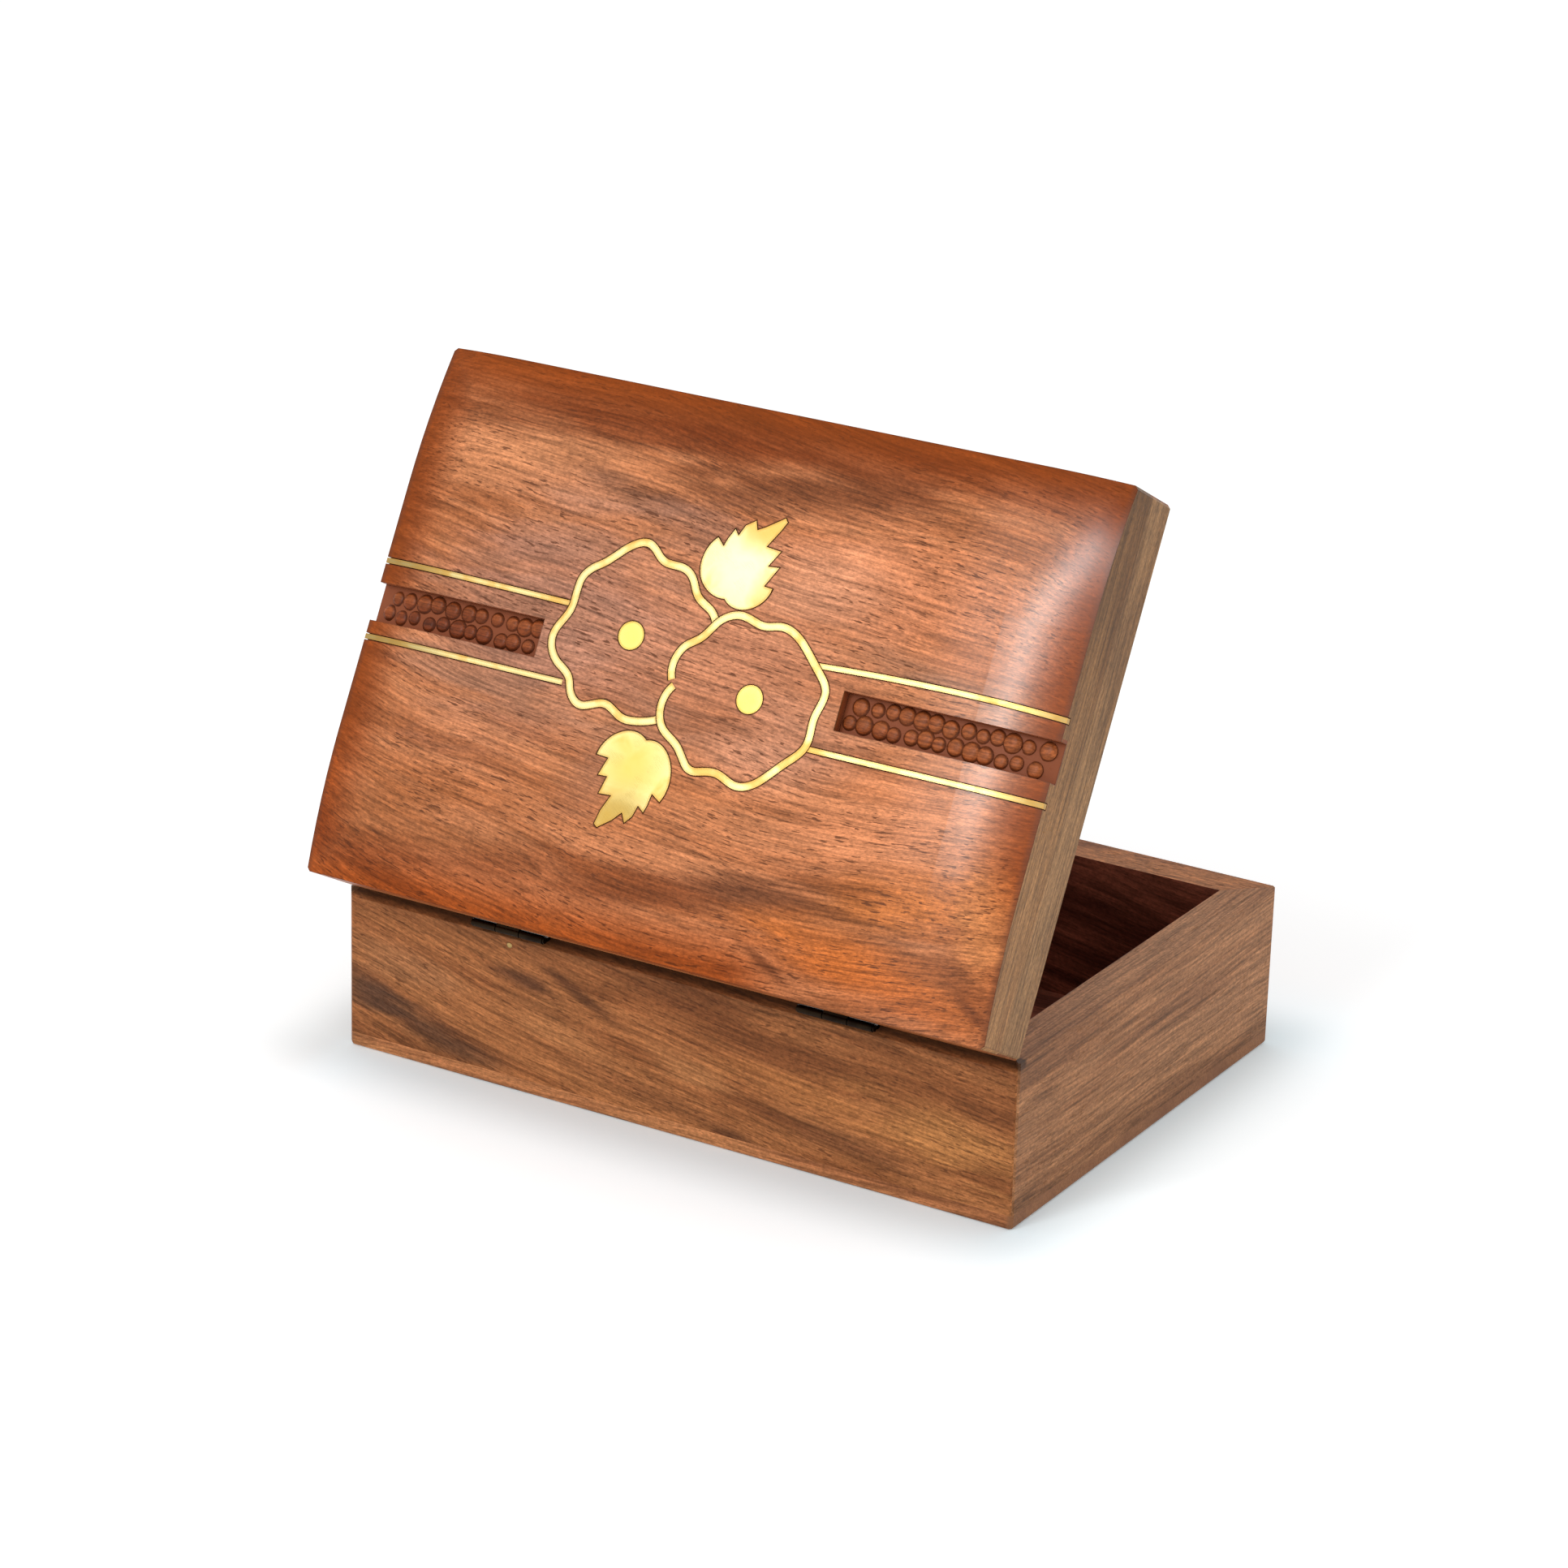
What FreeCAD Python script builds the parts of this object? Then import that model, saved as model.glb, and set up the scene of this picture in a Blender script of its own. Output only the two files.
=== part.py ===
import FreeCAD
import Part

import os

import Sketcher
from FreeCAD import Placement, Rotation, Vector

# Inlaid wooden box: a mitred hardwood body and a domed lid inlaid with brass, on two butt hinges.
# Frame: +Z up, origin at the middle of the underside, front towards -Y, hinges at the back, +Y.
# The lid is stored open. Lid pieces are drawn shut in the lid's own frame, whose origin is the
# middle of the hinge axis, with its rim at zero height, and are then turned open together.

# Driving sizes, in millimetres and degrees.
SIZES = {
    "box_width": 178.0,
    "box_depth": 125.5,
    "body_height": 40.0,
    "base_thickness": 3.5,
    "base_edge_round": 1.0,
    "wall_thickness": 10.0,
    "corner_ease": 0.8,
    "back_edge_chamfer": 2.2,
    "lid_open_angle": 62.0,
    "lid_rail_height": 10.0,
    "lid_edge_height": 20.5,
    "lid_end_height": 21.5,
    "lid_crown_height": 24.0,
    "long_shoulder": 34.0,
    "end_shoulder": 20.0,
    "band_width": 9.0,
    "band_depth": 2.6,
    "strip_width": 1.2,
    "motif_width": 71.0,
    "ornament_offset": 0.25,
    "flower_wire_width": 1.7,
    "flower_disc_radius": 3.25,
    "inlay_depth": 1.2,
    "glue_gap": 0.22,
    "hinge_spacing": 87.0,
    "hinge_length": 19.0,
    "hinge_leaf_width": 8.0,
    "hinge_leaf_thickness": 0.9,
    "hinge_axis_offset": 1.0,
    "knuckle_radius": 1.0,
    "knuckle_gap": 0.25,
    "pin_radius": 0.5,
    "pin_clearance": 0.05,
    "pin_head_radius": 0.8,
    "pin_head_height": 0.4,
    "seat_clearance": 0.15,
}

# The inlay drawing, in millimetres from its own middle as seen from above, at this overall width.
DRAWN_WIDTH = 71.0
RING_LINE = [
    (6.2, 1.5), (6.9, -1.9), (4.8, -6.8), (2.0, -8.8), (-1.5, -13.4), (-6.9, -15.8), (-12.8, -14.6),
    (-17.3, -15.3), (-23.6, -12.5), (-28.4, -8.0), (-32.0, -3.4), (-31.0, 2.7), (-30.9, 8.9),
    (-26.5, 14.3), (-22.3, 18.7), (-16.9, 21.2), (-10.3, 19.4), (-4.4, 20.1), (0.2, 15.8),
    (5.6, 12.0), (6.7, 9.8), (5.3, 2.7),
]
OPEN_LINE = [
    (-0.8, -12.6), (1.3, -15.4), (5.3, -17.7), (8.4, -22.0), (10.9, -23.3), (16.3, -23.9),
    (20.9, -27.0), (26.3, -25.0), (30.9, -20.8), (35.3, -17.0), (36.0, -14.3), (36.3, -8.7),
    (39.0, -2.2), (36.1, 3.4), (32.0, 6.3), (30.9, 8.8), (27.4, 11.7), (21.3, 10.2), (15.9, 12.4),
    (13.0, 12.5), (6.5, 10.7),
]
# The strips, from beside a flower to a point on the way out, and the row where each leaves the lid's end.
STRIP_LINES = {
    "strip_front_left": ([(-27.8, -8.7), (-69.0, -9.8)], -9.0),
    "strip_front_right": ([(36.0, -10.0), (66.0, -10.4)], -10.6),
    "strip_back_left": ([(-30.6, 9.6), (-60.0, 9.6)], 9.5),
    "strip_back_right": ([(33.3, 7.7), (66.0, 7.6)], 7.5),
}
# Where each carved band begins, and the row along which it runs.
BAND_STARTS = {"left": (-36.4, -0.2), "right": (42.2, -0.8)}
RING_DISC = (-14.2, 1.9)
OPEN_DISC = (19.3, -6.0)
# Each leaf has straight-cut teeth from one base lobe round the tip to the other, then a curved base.
FRONT_LEAF_TEETH = [
    (-12.2, -23.0), (-10.0, -23.2), (-12.5, -27.9), (-9.6, -27.7), (-11.8, -31.5), (-7.9, -31.9),
    (-10.3, -36.0), (-11.3, -38.2), (-10.6, -39.0), (-6.5, -36.2), (-4.5, -35.1), (-3.6, -37.1),
    (-1.4, -35.6), (-0.3, -33.0), (0.9, -34.3), (2.0, -32.0), (2.6, -30.0), (4.5, -31.7),
]
FRONT_LEAF_LOBES = [
    [(4.5, -31.7), (6.9, -27.0), (6.3, -22.6), (2.9, -19.3), (-1.2, -18.6)],
    [(-1.2, -18.6), (-5.2, -17.0), (-9.6, -18.6), (-12.2, -23.0)],
]
BACK_LEAF_TEETH = [
    (19.5, 21.5), (16.4, 21.7), (17.8, 25.9), (15.4, 25.8), (16.4, 29.9), (13.1, 29.7),
    (14.8, 33.5), (15.5, 36.7), (14.6, 37.3), (11.4, 35.0), (9.3, 32.8), (8.1, 34.9),
    (6.6, 33.2), (5.8, 30.5), (4.1, 31.7), (3.6, 30.0), (3.2, 27.2), (0.8, 28.6),
]
BACK_LEAF_LOBES = [
    [(0.8, 28.6), (-0.3, 24.5), (1.4, 18.7), (4.6, 16.1), (8.2, 16.0)],
    [(8.2, 16.0), (12.5, 14.7), (17.0, 16.8), (19.5, 21.5)],
]

doc = FreeCAD.newDocument("inlaid_wooden_box")
dim = doc.addObject("Spreadsheet::Sheet", "dim")
for row, (name, size) in enumerate(SIZES.items(), start=1):
    dim.set(f"A{row}", name)
    dim.set(f"B{row}", str(size))
    dim.setAlias(f"B{row}", name)
doc.recompute()

HINGE_Y = "(dim.box_depth / 2 + dim.hinge_axis_offset)"
LID_TOP_CLEAR = "(dim.lid_crown_height + dim.inlay_depth)"
nodes = []


def value(expression):
    """The number that an expression over the sheet stands for."""
    return float(dim.evalExpression(expression))


def bind(thing, **expressions):
    """Tie properties to the sheet; a double underscore in a name stands for a dot."""
    for name, expression in expressions.items():
        thing.setExpression(name.replace("__", "."), expression)
    return thing


def place(thing, x="0", y="0", z="0"):
    """Tie a piece's position to the sheet."""
    return bind(thing, Placement__Base__x=x, Placement__Base__y=y, Placement__Base__z=z)


def turn_open(thing, x="0"):
    """Carry a piece from the lid's own frame to the open lid."""
    thing.Placement = Placement(Vector(), Rotation(Vector(-1, 0, 0), 1))
    bind(thing, Placement__Rotation__Angle="dim.lid_open_angle")
    return place(thing, x, HINGE_Y, "dim.body_height")


def node(thing, label):
    """Name a finished sub-part, which then has a file of its own."""
    thing.Label = label
    nodes.append(thing)
    return thing


def box(name, corner, lengths):
    """A block from its lowest corner and its lengths, all expressions."""
    block = doc.addObject("Part::Box", name)
    bind(block, Length=lengths[0], Width=lengths[1], Height=lengths[2])
    return place(block, *corner)


def cut(name, base, tool):
    result = doc.addObject("Part::Cut", name)
    result.Base = base
    result.Tool = tool
    return result


def common(name, base, tool):
    result = doc.addObject("Part::Common", name)
    result.Base = base
    result.Tool = tool
    return result


def fuse(name, pieces):
    result = doc.addObject("Part::MultiFuse", name)
    result.Shapes = pieces
    return result


def attached_sketch(body, role, lift):
    """An empty sketch on one of a body's own planes, moved along its normal by an expression."""
    sketch = body.newObject("Sketcher::SketchObject", body.Name + "_outline")
    plane = [item for item in body.Origin.OriginFeatures if item.Role == role][0]
    sketch.AttachmentSupport = [(plane, "")]
    sketch.MapMode = "FlatFace"
    sketch.setExpression("AttachmentOffset.Base.z", lift)
    return sketch


def fix_corner(sketch, edge, end, corner):
    """Hold one end of a sketch edge at a pair of expressions."""
    for kind, expression in zip(("DistanceX", "DistanceY"), corner):
        constraint = Sketcher.Constraint(kind, -1, 1, edge, end, value(expression))
        number = sketch.addConstraint(constraint)
        sketch.setExpression(f"Constraints[{number}]", expression)


def straight_outline(sketch, corners):
    """A closed outline of straight lines through corners given as pairs of expressions."""
    points = [Vector(value(x), value(y), 0) for x, y in corners]
    for index, start in enumerate(points):
        sketch.addGeometry(Part.LineSegment(start, points[(index + 1) % len(points)]))
    for index, corner in enumerate(corners):
        following = (index + 1) % len(points)
        sketch.addConstraint(Sketcher.Constraint("Coincident", index, 2, following, 1))
        fix_corner(sketch, index, 1, corner)


def pad(body, sketch, length, symmetric=False):
    feature = body.newObject("PartDesign::Pad", body.Name + "_pad")
    feature.Profile = sketch
    feature.SideType = "Symmetric" if symmetric else "One side"
    bind(feature, Length=length)
    doc.recompute()
    return feature


def edges_where(feature, test):
    """Names of the edges whose every vertex passes a test."""
    edges = enumerate(feature.Shape.Edges, start=1)
    return [f"Edge{number}" for number, edge in edges if all(test(v.Point) for v in edge.Vertexes)]


def mitred_board(name, side, middle_y, lift, height):
    """One board of a four-sided frame, mitred at both ends, with eased outer corners."""
    body = doc.addObject("PartDesign::Body", name)
    run, reach = "dim.box_width / 2", "dim.box_depth / 2"
    if side in ("left", "right"):
        run, reach = reach, run
    along_and_out = [
        (f"-({run} - dim.corner_ease)", reach),
        (f"{run} - dim.corner_ease", reach),
        (f"{run} - dim.corner_ease / 2", f"{reach} - dim.corner_ease / 2"),
        (f"{run} - dim.wall_thickness", f"{reach} - dim.wall_thickness"),
        (f"-({run} - dim.wall_thickness)", f"{reach} - dim.wall_thickness"),
        (f"-({run} - dim.corner_ease / 2)", f"{reach} - dim.corner_ease / 2"),
    ]
    turned = {
        "front": lambda along, out: (along, f"{middle_y} - ({out})"),
        "back": lambda along, out: (along, f"{middle_y} + {out}"),
        "left": lambda along, out: (f"-({out})", f"{middle_y} + {along}"),
        "right": lambda along, out: (out, f"{middle_y} + {along}"),
    }[side]
    sketch = attached_sketch(body, "XY_Plane", lift)
    straight_outline(sketch, [turned(along, out) for along, out in along_and_out])
    pad(body, sketch, height)
    return body


def eased_plate(name, middle_y, lift, height):
    """A board of the box's full plan, with eased corners."""
    body = doc.addObject("PartDesign::Body", name)
    half_width, half_depth, ease = "dim.box_width / 2", "dim.box_depth / 2", "dim.corner_ease"
    quarter = [(f"{half_width} - {ease}", half_depth), (half_width, f"{half_depth} - {ease}")]
    corners = []
    for sign_x, sign_y in ((1, 1), (1, -1), (-1, -1), (-1, 1)):
        pair = [(f"{sign_x} * ({x})", f"{middle_y} + {sign_y} * ({y})") for x, y in quarter]
        corners += pair if sign_x == sign_y else pair[::-1]
    sketch = attached_sketch(body, "XY_Plane", lift)
    straight_outline(sketch, corners)
    return body, pad(body, sketch, height)


def crown_line(sketch, middle, half_run, edge_height, crown, shoulder):
    """A flat crown that rolls down to each edge in one arc; returns the number of its first arc."""
    low, high = f"{middle} - {half_run}", f"{middle} + {half_run}"
    corners = [
        (low, edge_height),
        (f"{low} + {shoulder}", crown),
        (f"{high} - {shoulder}", crown),
        (high, edge_height),
    ]
    points = [Vector(value(x), value(y), 0) for x, y in corners]
    width = value(shoulder)
    drop = value(f"{crown} - ({edge_height})")
    radius = (width ** 2 + drop ** 2) / (2 * drop)

    def shoulder_arc(top, first, second):
        circle = Part.Circle(top - Vector(0, radius, 0), Vector(0, 0, 1), radius)
        return Part.ArcOfCircle(circle, circle.parameter(first), circle.parameter(second))

    low_arc = sketch.addGeometry(shoulder_arc(points[1], points[1], points[0]))
    flat = sketch.addGeometry(Part.LineSegment(points[1], points[2]))
    high_arc = sketch.addGeometry(shoulder_arc(points[2], points[3], points[2]))
    start, end = 1, 2
    sketch.addConstraint(Sketcher.Constraint("Tangent", low_arc, start, flat, start))
    sketch.addConstraint(Sketcher.Constraint("Tangent", flat, end, high_arc, end))
    for edge, place_on_edge, corner in (
        (low_arc, end, corners[0]),
        (flat, start, corners[1]),
        (flat, end, corners[2]),
        (high_arc, start, corners[3]),
    ):
        fix_corner(sketch, edge, place_on_edge, corner)
    return low_arc


def pillow(name, sink):
    """The lid's crowned lengthways outline, carried over the crown that runs across, sunk by a depth."""
    body = doc.addObject("PartDesign::Body", name)
    path = attached_sketch(body, "YZ_Plane", "0")
    crown_line(path, LID_MIDDLE_Y, "dim.box_depth / 2", "dim.lid_edge_height", "dim.lid_crown_height",
               "dim.long_shoulder")
    outline = attached_sketch(body, "XZ_Plane", f"{HINGE_Y} + dim.box_depth / 2")
    half_run = "dim.box_width / 2"
    end_height = "dim.lid_edge_height + dim.lid_end_height - dim.lid_crown_height"
    low_arc = crown_line(outline, "0", half_run, end_height, "dim.lid_edge_height", "dim.end_shoulder")
    foot = "dim.lid_edge_height - dim.lid_crown_height"
    feet = [Vector(value(x), value(foot), 0) for x in (f"-{half_run}", half_run)]
    tops = [Vector(foot_point.x, value(end_height), 0) for foot_point in feet]
    low_side = outline.addGeometry(Part.LineSegment(tops[0], feet[0]))
    underside = outline.addGeometry(Part.LineSegment(feet[0], feet[1]))
    high_side = outline.addGeometry(Part.LineSegment(feet[1], tops[1]))
    start, end = 1, 2
    for first, first_end, second, second_end in (
        (low_arc, end, low_side, start),
        (low_side, end, underside, start),
        (underside, end, high_side, start),
        (high_side, end, low_arc + 2, start),
    ):
        outline.addConstraint(Sketcher.Constraint("Coincident", first, first_end, second, second_end))
    fix_corner(outline, underside, start, (f"-{half_run}", foot))
    fix_corner(outline, underside, end, (half_run, foot))
    sweep = body.newObject("PartDesign::AdditivePipe", f"{name}_sweep")
    sweep.Profile = outline
    sweep.Spine = (path, ["Edge1", "Edge2", "Edge3"])
    sweep.Mode = "Fixed"
    doc.recompute()
    return place(body, z=f"-({sink})")


# Box body: a base board and four mitred walls.
WALL_HEIGHT = "dim.body_height - dim.base_thickness"
base_board, base_pad = eased_plate("base_board_body", "0", "0", "dim.base_thickness")
base_round = base_board.newObject("PartDesign::Fillet", "base_edge_round")
base_round.Base = (base_pad, edges_where(base_pad, lambda point: abs(point.z) < 1e-6))
bind(base_round, Radius="dim.base_edge_round")
node(base_board, "base_board")
walls = {
    side: mitred_board(f"{side}_wall_body", side, "0", "dim.base_thickness", WALL_HEIGHT)
    for side in ("front", "back", "left", "right")
}
for side in ("front", "left", "right"):
    node(walls[side], f"{side}_wall")
back_pad = walls["back"].Tip
back_chamfer = walls["back"].newObject("PartDesign::Chamfer", "back_edge_chamfer")
rim = value("dim.body_height")
back_face = value("dim.box_depth / 2")
top_back = edges_where(back_pad, lambda p: abs(p.z - rim) < 1e-6 and abs(p.y - back_face) < 1e-6)
back_chamfer.Base = (back_pad, top_back)
bind(back_chamfer, Size="dim.back_edge_chamfer")

# Lid frame: four mitred rails, drawn shut about the hinge axis.
LID_MIDDLE_Y = f"-{HINGE_Y}"
ORNAMENT_Y = f"({LID_MIDDLE_Y} - dim.ornament_offset)"
rails = {
    side: mitred_board(f"lid_{side}_rail_body", side, LID_MIDDLE_Y, "0", "dim.lid_rail_height")
    for side in ("front", "back", "left", "right")
}
for side in ("front", "left", "right"):
    node(turn_open(rails[side]), f"lid_{side}_rail")

# Domed top, crowned both ways, and the same dome sunk to floor what is cut into it.
top_plan, _ = eased_plate(
    "lid_top_plan", LID_MIDDLE_Y, "dim.lid_rail_height", "dim.lid_crown_height - dim.lid_rail_height")
dome = common("dome", pillow("pillow", "0"), top_plan)
band_floor = pillow("band_floor", "dim.band_depth")
inlay_floor = pillow("inlay_floor", "dim.inlay_depth")
groove_floor = pillow("groove_floor", "dim.inlay_depth + dim.glue_gap")

# Carved bands, from beside the flowers out through both ends of the lid.
END_MARGIN = "dim.band_width"
bands = []
for side, (start_x, row) in BAND_STARTS.items():
    start = f"({abs(start_x)} * dim.motif_width / {DRAWN_WIDTH})"
    length = f"(dim.box_width / 2 - {start} + {END_MARGIN})"
    low_x = start if start_x > 0 else f"-({start} + {length})"
    low_y = f"{ORNAMENT_Y} + ({row}) * dim.motif_width / {DRAWN_WIDTH} - dim.band_width / 2"
    block = box(f"{side}_band_block", (low_x, low_y, "dim.lid_rail_height"),
                (length, "dim.band_width", LID_TOP_CLEAR))
    bands.append(cut(f"{side}_band", block, band_floor))

# Brass inlays, filed flush with the dome. Wires, discs and leaves lie flat in flat-bottomed grooves, and
# the strips bend over the lid's ends. Each groove is wider and deeper than its inlay by the glue gap.
DRAWING_SCALE = value("dim.motif_width") / DRAWN_WIDTH
DRAWING_MIDDLE = Vector(0, value(ORNAMENT_Y), 0)
FLAT_FLOOR = "(dim.lid_crown_height - dim.inlay_depth)"


def drawn(point):
    """A point of the inlay drawing in the lid's own frame."""
    return DRAWING_MIDDLE + Vector(*point, 0) * DRAWING_SCALE


ARC_TOLERANCE = 0.05


def curve_through(points):
    curve = Part.BSplineCurve()
    curve.interpolate(points)
    return curve


def wire_side(arcs, shift):
    """One side of a bent wire: its centre line's arcs, each moved sideways by the shift."""
    edges = []
    for arc in arcs:
        first, last = arc.FirstParameter, arc.LastParameter
        points = []
        for parameter in (first, (first + last) / 2, last):
            along = arc.tangent(parameter)[0]
            points.append(arc.value(parameter) + Vector(-along.y, along.x, 0) * shift)
        if edges:
            points[0] = edges[-1].Vertexes[-1].Point
        edges.append(Part.Arc(*points).toShape())
    return edges


def wire_face(line, width, growth):
    """A flat strip along a line of tangent arcs, square at both ends; growth widens it."""
    arcs = curve_through([drawn(point) for point in line]).toBiArcs(ARC_TOLERANCE)
    half_width = value(width) / 2 + growth
    left, right = wire_side(arcs, half_width), wire_side(arcs, -half_width)
    caps = [Part.makeLine(left[end].Vertexes[end].Point, right[end].Vertexes[end].Point) for end in (0, -1)]
    return Part.Face(Part.Wire(Part.sortEdges(left + right + caps)[0]))


def moved_out(points, growth):
    """A closed run of points, taken anticlockwise, with both sides at each point moved out by the growth."""
    moved = []
    for before, point, after in zip(points[-1:] + points[:-1], points, points[1:] + points[:1]):
        sides = [(point - before).normalize(), (after - point).normalize()]
        outwards = Vector(sides[0].y + sides[1].y, -sides[0].x - sides[1].x, 0)
        moved.append(point + outwards * (2 * growth / max(outwards.dot(outwards), 0.8)))
    return moved


def leaf_face(teeth, lobes, growth):
    """A toothed leaf with a two-lobed base."""
    loop = moved_out([drawn(point) for point in teeth + lobes[0][1:] + lobes[1][1:-1]], growth)
    tooth_end = len(teeth)
    cleft = tooth_end + len(lobes[0]) - 2
    edges = [Part.makeLine(start, end) for start, end in zip(loop, loop[1:tooth_end])]
    edges.append(curve_through(loop[tooth_end - 1:cleft + 1]).toShape())
    edges.append(curve_through(loop[cleft:] + loop[:1]).toShape())
    return Part.Face(Part.Wire(edges))


def disc_face(centre, growth):
    circle = Part.Circle(drawn(centre), Vector(0, 0, 1), value("dim.flower_disc_radius") + growth)
    return Part.Face(Part.Wire(circle.toShape()))


def strip_face(name, growth):
    """A strip that runs out through the end of the lid."""
    points, last_row = STRIP_LINES[name]
    past_end = value(f"dim.box_width / 2 + {END_MARGIN}") / DRAWING_SCALE
    last = (past_end if points[0][0] > 0 else -past_end, last_row)
    return wire_face(points + [last], "dim.strip_width", growth)


def prism(name, face, floor):
    """An outline pushed up from a floor to above the lid."""
    outline = doc.addObject("Part::Feature", f"{name}_outline")
    outline.Shape = face
    solid = doc.addObject("Part::Extrusion", f"{name}_prism")
    solid.Base = outline
    solid.DirMode = "Custom"
    solid.Dir = Vector(0, 0, 1)
    solid.Solid = True
    bind(solid, LengthFwd=f"{LID_TOP_CLEAR} - {floor}")
    return place(solid, z=floor)


GLUE_GAP = value("dim.glue_gap")
inlay_faces = {
    "flower_ring": lambda growth: wire_face(RING_LINE, "dim.flower_wire_width", growth),
    "flower_open_wire": lambda growth: wire_face(OPEN_LINE, "dim.flower_wire_width", growth),
    "ring_centre_disc": lambda growth: disc_face(RING_DISC, growth),
    "open_flower_centre_disc": lambda growth: disc_face(OPEN_DISC, growth),
    "front_leaf": lambda growth: leaf_face(FRONT_LEAF_TEETH, FRONT_LEAF_LOBES, growth),
    "back_leaf": lambda growth: leaf_face(BACK_LEAF_TEETH, BACK_LEAF_LOBES, growth),
    **{name: lambda growth, name=name: strip_face(name, growth) for name in STRIP_LINES},
}
# Pieces that end against a flower's wire are cut to it.
stops_at = {
    "flower_open_wire": "flower_ring",
    "strip_front_left": "flower_ring",
    "strip_back_left": "flower_ring",
    "strip_front_right": "flower_open_wire",
}
grooves = {}
for name, face in inlay_faces.items():
    if name.startswith("strip"):
        inlay = prism(name, face(0), "dim.lid_rail_height")
        inlay = cut(f"{name}_slab", common(f"{name}_flush", inlay, dome), inlay_floor)
        groove = prism(f"{name}_groove", face(GLUE_GAP), "dim.lid_rail_height")
        grooves[name] = cut(f"{name}_bent_groove", groove, groove_floor)
    else:
        inlay = common(f"{name}_flush", prism(name, face(0), FLAT_FLOOR), dome)
        grooves[name] = prism(f"{name}_groove", face(GLUE_GAP), f"({FLAT_FLOOR} - dim.glue_gap)")
    if name in stops_at:
        inlay = cut(f"{name}_butted", inlay, grooves[stops_at[name]])
    node(turn_open(inlay), name)
lid_top = cut("lid_top_cut", dome, fuse("lid_top_cuts", bands + list(grooves.values())))
node(turn_open(lid_top), "lid_top")

# Hinges, each drawn about the middle of its own axis. The box leaf has the two outer knuckles.
KNUCKLE = "((dim.hinge_length - 2 * dim.knuckle_gap) / 3)"
LEAF_ROOT = "(dim.knuckle_radius + dim.knuckle_gap)"
LEAF_THICKNESS = "dim.hinge_leaf_thickness"
ALONG_X = Rotation(Vector(0, 1, 0), 90)


def rod(name, low_x, radius, length):
    """A round rod along the hinge axis."""
    solid = doc.addObject("Part::Cylinder", name)
    solid.Placement = Placement(Vector(), ALONG_X)
    bind(solid, Radius=radius, Height=length)
    return place(solid, x=low_x)


def hinge_leaf(name, low_z, knuckle_starts):
    """A flat leaf with rolled knuckles, bored for the pin."""
    pieces = [box(f"{name}_plate", ("-dim.hinge_length / 2", "-dim.hinge_leaf_width", low_z),
                  ("dim.hinge_length", f"dim.hinge_leaf_width - {LEAF_ROOT}", LEAF_THICKNESS))]
    for number, start in enumerate(knuckle_starts, start=1):
        pieces.append(rod(f"{name}_knuckle_{number}", start, "dim.knuckle_radius", KNUCKLE))
        pieces.append(box(f"{name}_web_{number}", (start, f"-{LEAF_ROOT}", low_z),
                          (KNUCKLE, LEAF_ROOT, LEAF_THICKNESS)))
    bore_radius = "dim.pin_radius + dim.pin_clearance"
    bore = rod(f"{name}_bore", "-dim.hinge_length / 2", bore_radius, "dim.hinge_length")
    return cut(name, fuse(f"{name}_blank", pieces), bore)


def hinge_pin(name):
    """A pin whose two ends are headed over outside the knuckles."""
    end, head = "(dim.hinge_length / 2 + dim.pin_clearance)", "dim.pin_head_height"
    return fuse(name, [
        rod(f"{name}_shaft", f"-{end}", "dim.pin_radius", f"2 * {end}"),
        rod(f"{name}_head_1", f"-({end} + {head})", "dim.pin_head_radius", head),
        rod(f"{name}_head_2", end, "dim.pin_head_radius", head),
    ])


def hinge_seats(name, below):
    """What is chopped out of a wall or rail for both hinges: seats for the leaves, room for the knuckles."""
    room = f"({LEAF_ROOT} + dim.seat_clearance)"
    pin_room = "(dim.hinge_length + 2 * dim.seat_clearance + 4 * dim.pin_head_height)"
    leaf_room = "(dim.hinge_length + 2 * dim.seat_clearance)"
    seat_depth = "(dim.hinge_leaf_width + dim.seat_clearance)"
    pieces = []
    for side, sign in (("left", -1), ("right", 1)):
        middle = f"{sign} * dim.hinge_spacing / 2"
        seat_z = f"-{LEAF_THICKNESS}" if below else "0"
        room_z = f"-{room}" if below else "0"
        pieces.append(box(f"{name}_{side}_seat", (f"{middle} - {leaf_room} / 2", f"-{seat_depth}", seat_z),
                          (leaf_room, seat_depth, LEAF_THICKNESS)))
        pieces.append(box(f"{name}_{side}_room", (f"{middle} - {pin_room} / 2", f"-{room}", room_z),
                          (pin_room, room, room)))
    return fuse(name, pieces)


outer_knuckles = ("-dim.hinge_length / 2", f"dim.hinge_length / 2 - {KNUCKLE}")
middle_knuckle = (f"-{KNUCKLE} / 2",)
for side, sign in (("left", -1), ("right", 1)):
    middle = f"{sign} * dim.hinge_spacing / 2"
    box_leaf = hinge_leaf(f"{side}_hinge_box_leaf", f"-{LEAF_THICKNESS}", outer_knuckles)
    lid_leaf = hinge_leaf(f"{side}_hinge_lid_leaf", "0", middle_knuckle)
    node(place(box_leaf, middle, HINGE_Y, "dim.body_height"), f"{side}_hinge_box_leaf")
    node(turn_open(lid_leaf, middle), f"{side}_hinge_lid_leaf")
    pin = hinge_pin(f"{side}_hinge_pin")
    node(place(pin, middle, HINGE_Y, "dim.body_height"), f"{side}_hinge_pin")

box_seats = place(hinge_seats("box_hinge_seats", True), y=HINGE_Y, z="dim.body_height")
node(cut("back_wall_cut", walls["back"], box_seats), "back_wall")
lid_seats = hinge_seats("lid_hinge_seats", False)
node(turn_open(cut("lid_back_rail_cut", rails["back"], lid_seats)), "lid_back_rail")

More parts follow.
